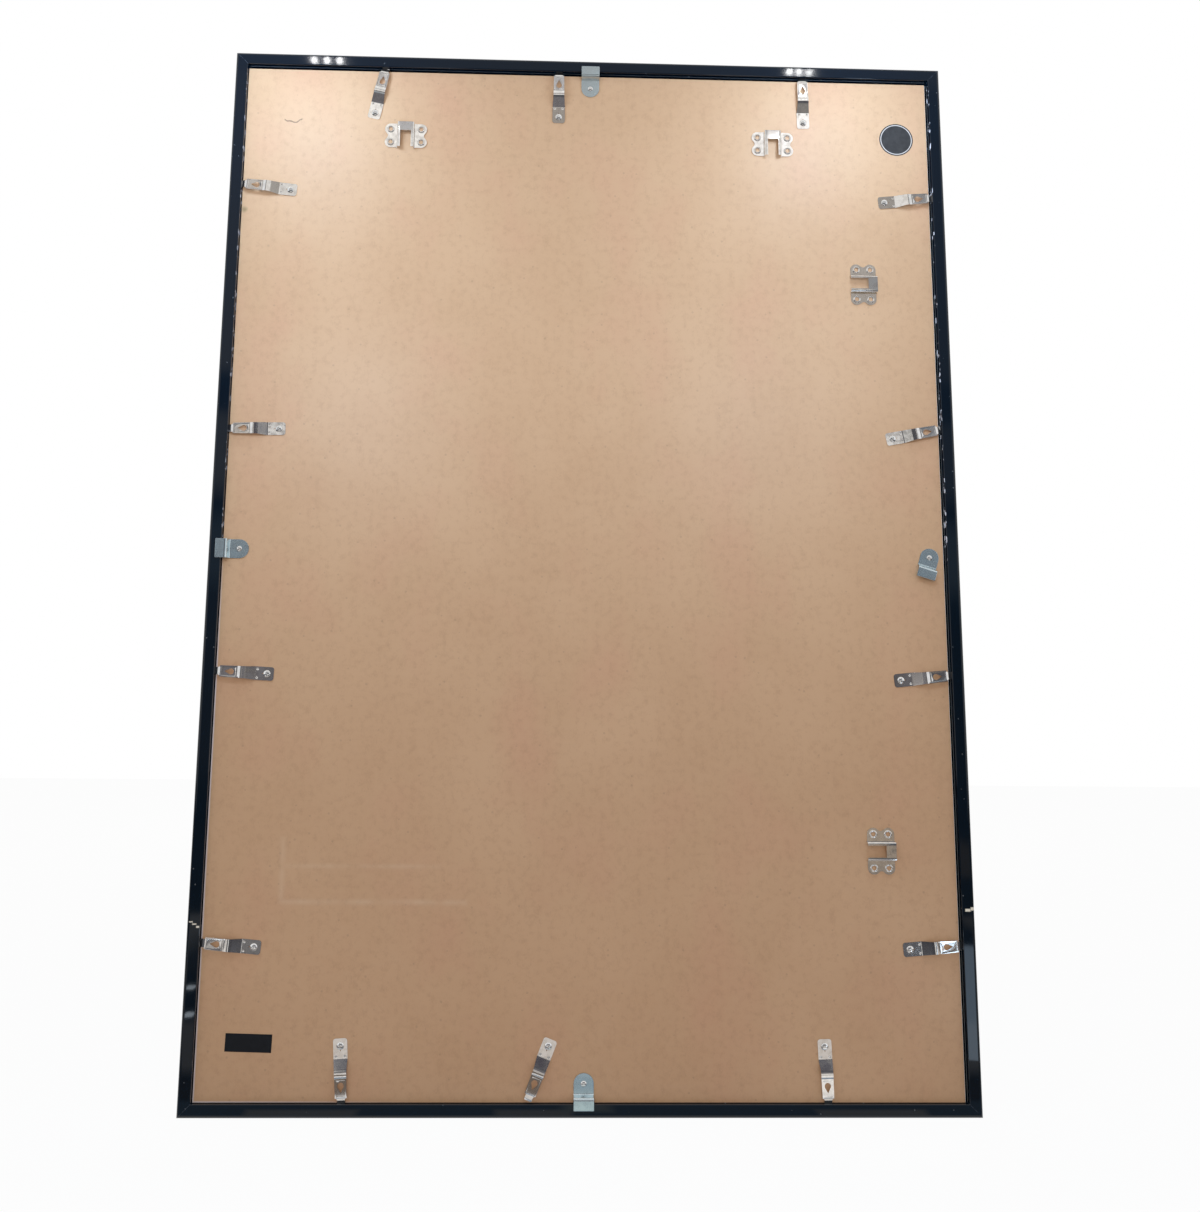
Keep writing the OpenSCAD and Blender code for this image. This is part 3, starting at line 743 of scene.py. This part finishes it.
def makeRailMaterial():
    material, tree, shader, where = newMaterial("railGlossBlack", **{"IOR": railFinish["ior"]})
    band = placeGroup(tree, "band", Vector=where, Width=railFinish["beadBand"], **{
        "Middle Z": place["middleZ"], "Half Width": place["halfWidth"] - place["rimWidth"],
        "Half Height": place["halfHeight"] - place["rimWidth"]})
    split = addNode(tree, "ShaderNodeSeparateXYZ")
    join(tree, where, split.inputs[0])
    # painted highlight: small pale beads along the inner edge of the upright rails, high up, where the lip
    # catches the light
    highlightNoise = noise(tree, stretched(tree, where, railFinish["beadStretch"]), *railFinish["beadNoise"])
    highlightBeads = ramp(tree, highlightNoise, *railFinish["beadRange"])
    fromMiddle = calculate(tree, "SUBTRACT", split.outputs[2], railFinish["beadMiddle"])
    upper = calculate(tree, "LESS_THAN", calculate(tree, "ABSOLUTE", fromMiddle), railFinish["beadReach"])
    edge = calculate(tree, "MULTIPLY", calculate(tree, "MAXIMUM", band["Mask"], 0), highlightBeads)
    edge = calculate(tree, "MULTIPLY", edge, upper)
    # the painted highlights and glints are on the back alone
    behind = calculate(tree, "GREATER_THAN", split.outputs[1], railFinish["backDepth"])
    edge = calculate(tree, "MULTIPLY", edge, behind)
    # fainter on the left rail
    onLeft = calculate(tree, "GREATER_THAN", split.outputs[0], 0)
    paler = calculate(tree, "MULTIPLY_ADD", onLeft, railFinish["leftBeads"] - 1, 1)
    edge = calculate(tree, "MULTIPLY", edge, paler)
    specks = scatter(tree, where, *railFinish["dustSpecks"])
    blackWithPaintedLight = blendColour(tree, edge, railFinish["black"], railFinish["beadHighlight"])
    # hairline where two rails meet at each mitre
    fromSide = calculate(tree, "SUBTRACT", place["halfWidth"], calculate(tree, "ABSOLUTE", split.outputs[0]))
    up = calculate(tree, "SUBTRACT", split.outputs[2], place["middleZ"])
    fromEnd = calculate(tree, "SUBTRACT", place["halfHeight"], calculate(tree, "ABSOLUTE", up))
    apart = calculate(tree, "ABSOLUTE", calculate(tree, "SUBTRACT", fromSide, fromEnd))
    hairline = calculate(tree, "SUBTRACT", 1, ramp(tree, apart, *railFinish["mitreLine"]))
    broken = ramp(tree, noise(tree, where, *railFinish["mitreNoise"]), *railFinish["mitreRange"])
    blackWithPaintedLight = cover(tree, hairline, broken, blackWithPaintedLight, railFinish["mitre"])
    # painted glints on the side rails, on the back alone
    for spot, half in railFinish["paintedGlintSpots"]:
        paintedGlint = boardPatch(tree, split, spot, half, railFinish["paintedGlintSoft"])
        blackWithPaintedLight = cover(tree, paintedGlint, behind, blackWithPaintedLight, railFinish["paintedGlint"])
    join(tree, cover(tree, specks, railFinish["dustCover"], blackWithPaintedLight, railFinish["dust"]),
         shader.inputs["Base Color"])
    smear = noise(tree, where, *railFinish["smear"])
    rough = calculate(tree, "MULTIPLY_ADD", smear, railFinish["smearRoughness"], railFinish["roughness"])
    matt = calculate(tree, "MULTIPLY", specks, railFinish["dustRoughness"])
    join(tree, calculate(tree, "ADD", rough, matt), shader.inputs["Roughness"])
    wave = noise(tree, where, *railFinish["wave"])
    bump(tree, shader, wave, railFinish["waveStrength"], railFinish["waveDepth"])
    return material


boardFinish = {
    "brown": (0.462, 0.262, 0.138),
    "roughness": 0.5,
    "ior": 1.5,
    "light": (0.495, 0.288, 0.156),
    "blotch": (7, 4, 0.6),
    "blotchRange": (0.35, 0.65),
    "rosy": (0.482, 0.258, 0.142),
    "rosyStretch": (1, 1, 0.7),
    "rosyNoise": (11, 3),
    "rosyRange": (0.5, 0.75),
    "streakStretch": (1, 1, 0.06),
    "mottle": (150, 3, 0.6),
    "fibreStretch": (1, 1, 0.5),
    "fibreNoise": (900, 3, 0.7),
    # shares of the streaks, the fibres and the mottle in the grain
    "grainShares": (0.14, 0.36, 0.5),
    "dark": (0.36, 0.197, 0.098),
    "darkRange": (0.5, 0.66),
    "lightRange": (0.5, 0.36),
    "grainCover": 0.5,
    "relief": 0.25,
    "reliefDepth": 0.3 * mm,
    "fibre": (0.16, 0.09, 0.05),
    "fibreSpecks": (230.0, 0.035),
    "fibreCover": 0.22,
    "stain": (0.12, 0.09, 0.03),
    "stains": (((347.5, 345), 4.0), ((75.5, 475.7), 0.9), ((-346.5, 372), 2.4)),
    "stainFade": (0.7, 1.5),
    "stainCover": 0.6,
    "ghost": (0.58, 0.40, 0.27),
    "ghostLines": (((280, -299), (1.6, 29)), ((208, -295), (73, 1.1)), ((195, -327), (85, 1.5))),
    "ghostSoft": 2.3 * mm,
    "ghostNoise": (40, 3),
    "ghostRange": (0.25, 0.75),
    "ghostCover": 0.55,
    "cutEdge": (0.62, 0.52, 0.5),
    "cutEdgeWidth": 1.6 * mm,
    "cutEdgeDown": (-420 * mm, -560 * mm),
    "cutEdgeAcross": (150 * mm, 346 * mm),
    "halfWidth": 349.5 * mm,
    "halfHeight": 499.5 * mm,
    "middleX": 0.9 * mm,
    "middleZ": -433.3 * mm,
}
skinTear = {
    "middleX": 303 * mm,
    "up": 440.6 * mm,
    "reach": 9 * mm,
    "curve": 38.0,
    "waves": 640,
    "waveHeight": 0.7 * mm,
    "raggedNoise": (500, 2),
    "ragged": 1.6 * mm,
    "line": (0.35 * mm, 1.1 * mm),
    "cover": 0.85,
    "depth": 2.0,
}


def makeTearMask(tree, split, where):
    # small curved tear in the board's skin
    across = calculate(tree, "SUBTRACT", split.outputs[0], skinTear["middleX"])
    waves = calculate(tree, "SINE", calculate(tree, "MULTIPLY", across, skinTear["waves"]))
    sag = calculate(tree, "MULTIPLY_ADD", calculate(tree, "MULTIPLY", across, across), skinTear["curve"],
                    calculate(tree, "MULTIPLY", waves, skinTear["waveHeight"]))
    height = calculate(tree, "SUBTRACT", split.outputs[2], place["middleZ"] + skinTear["up"])
    jitter = calculate(tree, "SUBTRACT", noise(tree, where, *skinTear["raggedNoise"]), 0.5)
    ragged = calculate(tree, "MULTIPLY", jitter, skinTear["ragged"])
    off = calculate(tree, "ADD", calculate(tree, "SUBTRACT", height, sag), ragged)
    line = calculate(tree, "SUBTRACT", 1, ramp(tree, calculate(tree, "ABSOLUTE", off), *skinTear["line"]))
    within = calculate(tree, "LESS_THAN", calculate(tree, "ABSOLUTE", across), skinTear["reach"])
    return calculate(tree, "MULTIPLY", line, within)


def makeBoardMaterial():
    look = boardFinish
    material, tree, shader, where = newMaterial("brownHardboard", **{
        "Roughness": look["roughness"], "IOR": look["ior"]})
    split = addNode(tree, "ShaderNodeSeparateXYZ")
    join(tree, where, split.inputs[0])
    blotch = noise(tree, where, *look["blotch"])
    streaks = noise(tree, stretched(tree, where, look["streakStretch"]), *look["mottle"])
    mottle = noise(tree, where, *look["mottle"])
    fibre = noise(tree, stretched(tree, where, look["fibreStretch"]), *look["fibreNoise"])
    streakShare, fibreShare, mottleShare = look["grainShares"]
    grain = calculate(tree, "MULTIPLY_ADD", streaks, streakShare,
                      calculate(tree, "MULTIPLY", fibre, fibreShare))
    grain = calculate(tree, "MULTIPLY_ADD", mottle, mottleShare, grain)
    base = blendColour(tree, ramp(tree, blotch, *look["blotchRange"]), look["brown"], look["light"])
    rosy = noise(tree, stretched(tree, where, look["rosyStretch"]), *look["rosyNoise"])
    base = blendColour(tree, ramp(tree, rosy, *look["rosyRange"]), base, look["rosy"])
    base = cover(tree, ramp(tree, grain, *look["darkRange"]), look["grainCover"], base, look["dark"])
    base = cover(tree, ramp(tree, grain, *look["lightRange"]), look["grainCover"], base, look["light"])
    base = cover(tree, scatter(tree, where, *look["fibreSpecks"]), look["fibreCover"], base, look["fibre"])
    for (x, z), radius in look["stains"]:
        spot = addNode(tree, "ShaderNodeVectorMath", operation="DISTANCE")
        join(tree, where, spot.inputs[0])
        spot.inputs[1].default_value = (x * mm, place["boardBack"], place["middleZ"] + z * mm)
        frayed = calculate(tree, "MULTIPLY_ADD", mottle, radius * mm, spot.outputs["Value"])
        faded = ramp(tree, frayed, *(radius * share * mm for share in look["stainFade"]))
        base = cover(tree, calculate(tree, "SUBTRACT", 1, faded), look["stainCover"], base, look["stain"])
    # pale outline left where another sheet lay against the board
    ghost = 0
    for spot, half in look["ghostLines"]:
        ghost = calculate(tree, "MAXIMUM", ghost, boardPatch(tree, split, spot, half, look["ghostSoft"]))
    broken = ramp(tree, noise(tree, where, *look["ghostNoise"]), *look["ghostRange"])
    base = cover(tree, calculate(tree, "MULTIPLY", ghost, broken), look["ghostCover"], base, look["ghost"])
    tear = makeTearMask(tree, split, where)
    base = cover(tree, tear, skinTear["cover"], base, look["fibre"])
    band = placeGroup(tree, "band", Vector=where, Width=look["cutEdgeWidth"], **{
        "Middle X": look["middleX"], "Middle Z": look["middleZ"],
        "Half Width": look["halfWidth"], "Half Height": look["halfHeight"]})
    # the pale cut edge shows low down on the left
    low = calculate(tree, "MULTIPLY", ramp(tree, split.outputs[2], *look["cutEdgeDown"]),
                    ramp(tree, split.outputs[0], *look["cutEdgeAcross"]))
    rim = calculate(tree, "MULTIPLY", calculate(tree, "MAXIMUM", band["Mask"], 0), low)
    join(tree, blendColour(tree, rim, base, look["cutEdge"]), shader.inputs["Base Color"])
    relief = calculate(tree, "SUBTRACT", grain, calculate(tree, "MULTIPLY", tear, skinTear["depth"]))
    bump(tree, shader, relief, look["relief"], look["reliefDepth"])
    return material


platings = {
    "nickelPlate": {"tint": (0.86, 0.84, 0.81), "tarnish": (0.56, 0.51, 0.46), "polish": 0.07,
                    "dullness": 0.14, "streaks": 1400.0, "relief": 0.1},
    "zincPlate": {"tint": (0.62, 0.71, 0.74), "tarnish": (0.44, 0.53, 0.57), "polish": 0.18,
                  "dullness": 0.2, "streaks": 1500.0, "relief": 0.08},
    "rivetSteel": {"tint": (0.88, 0.88, 0.87), "tarnish": (0.5, 0.48, 0.45), "polish": 0.06,
                   "dullness": 0.16, "streaks": 2400.0, "relief": 0.08},
    "specks": (1100.0, 0.05),
    "speckCover": 0.35,
    "reliefDepth": 0.05 * mm,
}


def makePlatedMaterial(name):
    look = platings[name]
    material, tree, shader, where = newMaterial(name, **{"Metallic": 1.0})
    plated = placeGroup(tree, "plating", Vector=where, Tint=(*look["tint"], 1), Tarnish=(*look["tarnish"], 1),
                        Polish=look["polish"], Dullness=look["dullness"], **{"Streak Scale": look["streaks"]})
    specks = scatter(tree, where, *platings["specks"])
    join(tree, cover(tree, specks, platings["speckCover"], plated["Color"], look["tarnish"]),
         shader.inputs["Base Color"])
    join(tree, plated["Roughness"], shader.inputs["Roughness"])
    bump(tree, shader, plated["Height"], look["relief"], platings["reliefDepth"])
    return material


roundLabel = {
    "specular": 0.15,
    "black": (0.016, 0.014, 0.013),
    "grey": (0.06, 0.052, 0.047),
    "mottle": (160, 3),
    "ring": (0.5, 0.42, 0.36),
    "middleX": -317.1 * mm,
    "up": 436.6 * mm,
    "discRadius": 15.5 * mm,
    "ringRadius": 16.3 * mm,
    "soft": 0.15 * mm,
    "shine": (300, 2),
    "roughness": (0.15, 0.32),
    "grain": (700, 2),
    "relief": 0.08,
    "reliefDepth": 0.05 * mm,
}


def makeRoundLabelMaterial():
    look = roundLabel
    material, tree, shader, where = newMaterial("roundLabelInk", **{"Specular IOR Level": look["specular"]})
    split = addNode(tree, "ShaderNodeSeparateXYZ")
    join(tree, where, split.inputs[0])
    across = calculate(tree, "SUBTRACT", split.outputs[0], look["middleX"])
    up = calculate(tree, "SUBTRACT", split.outputs[2], place["middleZ"] + look["up"])
    out = calculate(tree, "SQRT", calculate(tree, "ADD", calculate(tree, "MULTIPLY", across, across),
                                            calculate(tree, "MULTIPLY", up, up)))
    ringIn, ringOut = (ramp(tree, out, radius - look["soft"], radius + look["soft"])
                       for radius in (look["discRadius"], look["ringRadius"]))
    ring = calculate(tree, "SUBTRACT", ringIn, ringOut)
    mottled = blendColour(tree, noise(tree, where, *look["mottle"]), look["black"], look["grey"])
    join(tree, blendColour(tree, ring, mottled, look["ring"]), shader.inputs["Base Color"])
    roughen(tree, shader, noise(tree, where, *look["shine"]), *look["roughness"])
    bump(tree, shader, noise(tree, where, *look["grain"]), look["relief"], look["reliefDepth"])
    return material


oblongLabel = {
    "specular": 0.2,
    "black": (0.004, 0.0045, 0.006),
    "grey": (0.010, 0.011, 0.014),
    "mottle": (220, 3),
    "dust": (0.12, 0.12, 0.12),
    "dustSpecks": (900.0, 0.05),
    "dustCover": 0.4,
    "shine": (260, 2),
    "roughness": (0.2, 0.35),
}


def makeOblongLabelMaterial():
    look = oblongLabel
    material, tree, shader, where = newMaterial("oblongLabelInk", **{"Specular IOR Level": look["specular"]})
    specks = scatter(tree, where, *look["dustSpecks"])
    mottled = blendColour(tree, noise(tree, where, *look["mottle"]), look["black"], look["grey"])
    join(tree, cover(tree, specks, look["dustCover"], mottled, look["dust"]), shader.inputs["Base Color"])
    roughen(tree, shader, noise(tree, where, *look["shine"]), *look["roughness"])
    return material


blankSheet = {
    "specular": 0.2,
    "shade": (0.80, 0.79, 0.76),
    "white": (0.87, 0.86, 0.83),
    "fibre": (1200, 4, 0.7),
    "fibreRange": (0.3, 0.7),
    "roughness": (0.2, 0.6),
    "relief": 0.1,
    "reliefDepth": 0.05 * mm,
}


def makePaperMaterial():
    look = blankSheet
    material, tree, shader, where = newMaterial("blankPaper", **{"Specular IOR Level": look["specular"]})
    fibre = noise(tree, where, *look["fibre"])
    join(tree, blendColour(tree, ramp(tree, fibre, *look["fibreRange"]), look["shade"], look["white"]),
         shader.inputs["Base Color"])
    roughen(tree, shader, fibre, *look["roughness"])
    bump(tree, shader, fibre, look["relief"], look["reliefDepth"])
    return material


clearSheet = {
    "tint": (0.96, 0.985, 0.98, 1),
    "ior": 1.49,
    "haze": (14, 3),
    "hazeRange": (0.35, 0.9),
    "hazeRoughness": 0.05,
}


def makeGlazingMaterial():
    look = clearSheet
    material, tree, shader, where = newMaterial("clearGlazing", **{
        "Base Color": look["tint"], "IOR": look["ior"], "Transmission Weight": 1.0})
    haze = ramp(tree, noise(tree, where, *look["haze"]), *look["hazeRange"])
    join(tree, calculate(tree, "MULTIPLY", haze, look["hazeRoughness"]), shader.inputs["Roughness"])
    # light on its way to the sheet passes straight through
    rays = addNode(tree, "ShaderNodeLightPath").outputs
    mix = addNode(tree, "ShaderNodeMixShader")
    join(tree, calculate(tree, "MAXIMUM", rays["Is Shadow Ray"], rays["Is Diffuse Ray"]), mix.inputs[0])
    join(tree, shader.outputs[0], mix.inputs[1])
    join(tree, addNode(tree, "ShaderNodeBsdfTransparent").outputs[0], mix.inputs[2])
    join(tree, mix.outputs[0], tree.nodes["Material Output"].inputs["Surface"])
    return material


keyPlastic = {
    "specular": 0.4,
    "dark": (0.22, 0.22, 0.22),
    "light": (0.3, 0.3, 0.3),
    "grain": (800, 3),
    "roughness": (0.2, 0.45),
}


def makeKeyMaterial():
    look = keyPlastic
    material, tree, shader, where = newMaterial("greyKeyPlastic", **{"Specular IOR Level": look["specular"]})
    grain = noise(tree, where, *look["grain"])
    join(tree, blendColour(tree, grain, look["dark"], look["light"]), shader.inputs["Base Color"])
    roughen(tree, shader, grain, *look["roughness"])
    return material


nickel = makePlatedMaterial("nickelPlate")
zinc = makePlatedMaterial("zincPlate")
rivetSteel = makePlatedMaterial("rivetSteel")
materials = {
    "rail": makeRailMaterial(), "backing_board": makeBoardMaterial(), "round_label": makeRoundLabelMaterial(),
    "info_label": makeOblongLabelMaterial(), "picture_sheet": makePaperMaterial(),
    "glazing": makeGlazingMaterial(), "corner_keys": makeKeyMaterial(),
}


def dress(pieces, finish):
    for piece in pieces:
        piece.data.materials.clear()
        piece.data.materials.append(finish)


for node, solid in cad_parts.items():
    dress([solid], materials["rail"] if node.startswith("rail") else materials.get(node, nickel))
dress(clips + hangers + [eyelets], nickel)
dress(buttons, zinc)
dress([clipRivets, buttonRivets], rivetSteel)
dress([plugs], materials["backing_board"])
print("materials made")

# Camera, light and floor
cameraSet = {
    "place": (50.49 * mm, 1048.61 * mm, -580.1 * mm),
    "right": (-0.999545, 0.028613, 0.009577),
    "up": (0.013626, 0.144854, 0.989359),
    "back": (0.026922, 0.989039, -0.145178),
    "nearest": 50 * mm,
    "sensor": 36,
    # the rest in pixels of the picture
    "focalLength": 1098.77,
    "centre": (564.76, 546.48),
    "picture": (1200, 1212),
}


def makeCamera():
    data = bpy.data.cameras.new("photoCamera")
    camera = bpy.data.objects.new("photoCamera", data)
    bpy.context.collection.objects.link(camera)
    wide, high = cameraSet["picture"]
    data.sensor_fit = "HORIZONTAL"
    data.sensor_width = cameraSet["sensor"]
    data.lens = cameraSet["focalLength"] * cameraSet["sensor"] / wide
    data.shift_x = (wide / 2 - cameraSet["centre"][0]) / wide
    data.shift_y = (cameraSet["centre"][1] - high / 2) / wide
    data.clip_start = cameraSet["nearest"]
    turn = Matrix((cameraSet["right"], cameraSet["up"], cameraSet["back"])).transposed()
    camera.matrix_world = Matrix.Translation(cameraSet["place"]) @ turn.to_4x4()
    bpy.context.scene.camera = camera


# Soft light that shines on matt surfaces, and small glints that only gloss shows
lightSet = {
    "fill": 0.5,
    "floorHeight": -0.9455,
    "floorSize": 9,
    "floorGrey": (0.6, 0.6, 0.6, 1),
    "floorRoughness": 0.9,
    "floorGlow": 0.96,
    "softLamps": {
        # place, radius, power and colour
        "highLeftLamp": ((0.307, 0.155, 0.042), 0.05, 2.25, (0.52, 0.785, 1.15)),
        "highRightLamp": ((-0.255, 0.155, 0.047), 0.05, 2.25, (0.52, 0.785, 1.15)),
        "lowLeftLamp": ((0.262, 0.266, -0.238), 0.08, 2.6, (0.52, 0.77, 1.1)),
        "lowRightLamp": ((-0.21, 0.29, -0.23), 0.08, 2.75, (0.52, 0.77, 1.1)),
        "frontLamp": ((0.2, 2.6, -0.3), 0.5, 73.0, (1.0, 1.015, 1.02)),
        "sheetLamp": ((0, -2.6, -0.3), 0.5, 45.0, (1.0, 1.0, 1.0)),
    },
    "glints": {
        # places, turn, size, radiance and colour
        "ceilingGlint": (((0.731, 2.4, 1.572), (0.774, 2.4, 1.572), (0.817, 2.4, 1.572),
                          (-0.793, 2.4, 1.572), (-0.827, 2.4, 1.572), (-0.861, 2.4, 1.572)),
                         (-pi / 2, 0, 0), (0.013, 0.015), 160.0, (1.0, 1.0, 1.0)),
        "floorStripe": (((-0.522, 0.43, -0.94),),
                        (pi, 0, radians(21)), (0.05, 0.6), 3.2, (0.62, 0.8, 1.0)),
        "floorGlint": (((0.485, 0.443, -0.94), (0.448, 0.316, -0.94)),
                       (pi, 0, 0), (0.012, 0.022), 7.0, (0.8, 0.9, 1.0)),
    },
}


def whiteWhereSeen(tree):
    # 1 for the camera, for reflections and through glass
    rays = addNode(tree, "ShaderNodeLightPath").outputs
    return calculate(tree, "MAXIMUM", rays["Is Camera Ray"],
                     calculate(tree, "MAXIMUM", rays["Is Glossy Ray"], rays["Is Transmission Ray"]))


def makeWorld():
    world = bpy.data.worlds.new("paleStudio")
    bpy.context.scene.world = world
    world.use_nodes = True
    tree = world.node_tree
    shine = tree.nodes["Background"]
    shine.inputs["Color"].default_value = (1, 1, 1, 1)
    fill = lightSet["fill"]
    strength = calculate(tree, "MULTIPLY_ADD", whiteWhereSeen(tree), 1 - fill, fill)
    join(tree, strength, shine.inputs["Strength"])


def addLamp(name, kind, spot, colour, power):
    data = bpy.data.lights.new(name, kind)
    data.color = colour
    data.energy = power
    lamp = bpy.data.objects.new(name, data)
    bpy.context.collection.objects.link(lamp)
    lamp.location = spot
    lamp.visible_camera = False
    return lamp


def makeLamps():
    for name, (spot, radius, power, shade) in lightSet["softLamps"].items():
        lamp = addLamp(name, "POINT", spot, shade, power)
        lamp.data.shadow_soft_size = radius
        lamp.visible_glossy = False
    for name, (spots, turn, size, radiance, shade) in lightSet["glints"].items():
        for spot in spots:
            lamp = addLamp(name, "AREA", spot, shade, radiance * pi * size[0] * size[1])
            lamp.data.shape = "RECTANGLE"
            lamp.data.size, lamp.data.size_y = size
            lamp.rotation_euler = turn
            lamp.visible_diffuse = False


def makeFloor():
    startFresh()
    bpy.ops.mesh.primitive_plane_add(size=lightSet["floorSize"], location=(0, 0, lightSet["floorHeight"]))
    floor = bpy.context.object
    floor.name = "paleFloor"
    material = bpy.data.materials.new("paleFloor")
    material.use_nodes = True
    tree = material.node_tree
    shader = tree.nodes["Principled BSDF"]
    shader.inputs["Base Color"].default_value = lightSet["floorGrey"]
    shader.inputs["Roughness"].default_value = lightSet["floorRoughness"]
    glow = addNode(tree, "ShaderNodeEmission")
    mix = addNode(tree, "ShaderNodeMixShader")
    join(tree, calculate(tree, "MULTIPLY", whiteWhereSeen(tree), lightSet["floorGlow"]), mix.inputs[0])
    join(tree, shader.outputs[0], mix.inputs[1])
    join(tree, glow.outputs[0], mix.inputs[2])
    join(tree, mix.outputs[0], tree.nodes["Material Output"].inputs["Surface"])
    floor.data.materials.append(material)


# Glowing cards behind the camera and on the floor there, which only reflections see: painted reflections for
# the metal and the rails.
# A patch has its middle, half size, softness and shade, set so that a face reflects a chosen brightness.
reflectionCards = {
    "wallReflectionCard": {
        "middle": (0, 2.45, 1.6), "half": (4.6, 2.6), "turn": (pi / 2, 0, 0), "axes": (0, 2),
        "far": (0.085, 0.087, 0.1),
        "paintedReflections": (
            ((3.1, 0.8), (1.4, 2.0), 0.12, (0.85, 0.87, 0.9)),
            ((-3.1, 0.8), (1.4, 2.0), 0.12, (0.85, 0.87, 0.9)),
            ((0, 3.3), (4.5, 1.1), 0.15, (0.9, 0.9, 0.9)),
            ((0.04, -0.5), (1.28, 0.3), 0.06, (0.17, 0.165, 0.18)),
            ((0.62, -0.52), (0.15, 0.15), 0.06, (0.38, 0.36, 0.34)),
            ((0.8, -0.46), (0.06, 0.1), 0.03, (0.07, 0.065, 0.07)),
            ((-1.07, -0.46), (0.06, 0.1), 0.03, (0.07, 0.065, 0.07)),
            ((-0.85, -0.52), (0.13, 0.15), 0.06, (0.25, 0.24, 0.23)),
            ((-0.1, -0.86), (1.0, 0.12), 0.03, (0.85, 0.82, 0.8)),
            ((-1.08, -0.85), (0.13, 0.13), 0.03, (0.34, 0.28, 0.22)),
            ((1.02, -0.09), (0.27, 0.11), 0.04, (0.34, 0.41, 0.47)),
            ((-1.25, -0.09), (0.22, 0.11), 0.04, (0.34, 0.41, 0.47)),
            ((1.14, 0.85), (0.12, 0.75), 0.04, (0.62, 0.59, 0.56)),
            ((-1.36, 0.85), (0.12, 0.75), 0.04, (0.3, 0.31, 0.33)),
            ((-0.11, 0.85), (1.1, 0.71), 0.04, (0.86, 0.85, 0.84)),
            ((-0.06, 0.29), (0.88, 0.17), 0.04, (0.07, 0.065, 0.08)),
            ((-0.1, 0.43), (1.25, 0.07), 0.02, (0.13, 0.135, 0.16)),
            ((-1.14, 1.15), (0.17, 0.2), 0.06, (0.36, 0.34, 0.32)),
            ((-1.05, 0.8), (0.17, 0.14), 0.05, (0.4, 0.37, 0.34)),
            ((-0.01, 1.38), (0.2, 0.18), 0.07, (0.34, 0.31, 0.28)),
            ((-0.81, 1.37), (0.15, 0.13), 0.04, (1.25, 1.25, 1.27)),
            ((0.57, 1.38), (0.15, 0.11), 0.05, (1.1, 1.08, 1.06)),
            ((0.78, -0.09), (0.05, 0.12), 0.02, (0.8, 0.78, 0.75)),
            ((0, 1.76), (1.6, 0.2), 0.03, (0.5, 0.5, 0.52)),
        ),
    },
    "floorReflectionCard": {
        "middle": (0, 1.227, -0.944), "half": (4.6, 1.223), "turn": (0, 0, 0), "axes": (0, 1),
        "far": (0.1, 0.102, 0.115),
        "paintedReflections": (
            ((0, 0), (0.9, 0.045), 0.005, (0.24, 0.3, 0.38)),
            ((0, 0.075), (0.9, 0.03), 0.01, (0.16, 0.13, 0.11)),
            ((-0.25, 0.075), (0.07, 0.03), 0.01, (0.95, 0.93, 0.9)),
            ((0.24, 0.044), (0.05, 0.004), 0.002, (0.95, 0.95, 0.95)),
            ((0.05, 0.044), (0.035, 0.004), 0.002, (0.95, 0.95, 0.95)),
            ((-0.25, 0.044), (0.05, 0.004), 0.002, (0.95, 0.95, 0.95)),
            ((0.255, 0.008), (0.05, 0.012), 0.004, (0.7, 0.68, 0.66)),
            ((0.045, 0.008), (0.035, 0.012), 0.004, (0.7, 0.68, 0.66)),
            ((-0.265, 0.008), (0.05, 0.012), 0.004, (0.7, 0.68, 0.66)),
            ((-0.004, 0.095), (0.022, 0.035), 0.006, (0.32, 0.4, 0.46)),
            ((-0.004, 0.035), (0.022, 0.02), 0.006, (0.62, 0.68, 0.66)),
            ((0, 0.215), (0.9, 0.09), 0.02, (0.64, 0.6, 0.57)),
            ((0, 1.7), (0.55, 0.72), 0.06, (0.75, 0.73, 0.7)),
            ((0.71, 0.67), (0.17, 0.3), 0.02, (0.75, 0.73, 0.71)),
            ((-0.8, 0.67), (0.09, 0.3), 0.03, (0.8, 0.73, 0.67)),
            ((0, 0.64), (0.25, 0.15), 0.04, (0.05, 0.05, 0.06)),
            ((0.27, 0.62), (0.06, 0.34), 0.02, (0.95, 0.95, 0.95)),
            ((-0.35, 0.62), (0.07, 0.34), 0.02, (0.95, 0.95, 0.95)),
            ((0.44, 0.67), (0.13, 0.12), 0.03, (0.17, 0.165, 0.17)),
            ((-0.87, 1.95), (0.3, 0.5), 0.05, (0.36, 0.3, 0.24)),
        ),
    },
}


def makeReflectionCard(name):
    card = reflectionCards[name]
    startFresh()
    bpy.ops.mesh.primitive_plane_add(size=2, location=card["middle"], rotation=card["turn"])
    sheet = bpy.context.object
    sheet.name = name
    sheet.scale = (*card["half"], 1)
    bpy.ops.object.transform_apply(location=True, rotation=True, scale=True)
    material = bpy.data.materials.new(name)
    material.use_nodes = True
    tree = material.node_tree
    split = addNode(tree, "ShaderNodeSeparateXYZ")
    join(tree, addNode(tree, "ShaderNodeTexCoord").outputs["Object"], split.inputs[0])
    # the card glows with painted reflections, patch by patch over its far glow
    shade = card["far"]
    for middle, half, soft, tone in card["paintedReflections"]:
        shade = blendColour(tree, patchMask(tree, split, middle, half, soft, card["axes"]), shade, tone)
    glow = addNode(tree, "ShaderNodeEmission")
    join(tree, shade, glow.inputs["Color"])
    join(tree, glow.outputs[0], tree.nodes["Material Output"].inputs["Surface"])
    sheet.data.materials.append(material)
    sheet.visible_camera = sheet.visible_diffuse = sheet.visible_shadow = sheet.visible_transmission = False


makeCamera()
makeWorld()
makeFloor()
for name in reflectionCards:
    makeReflectionCard(name)
makeLamps()
bpy.context.scene.view_settings.view_transform = "Standard"
print("camera, light and floor set")
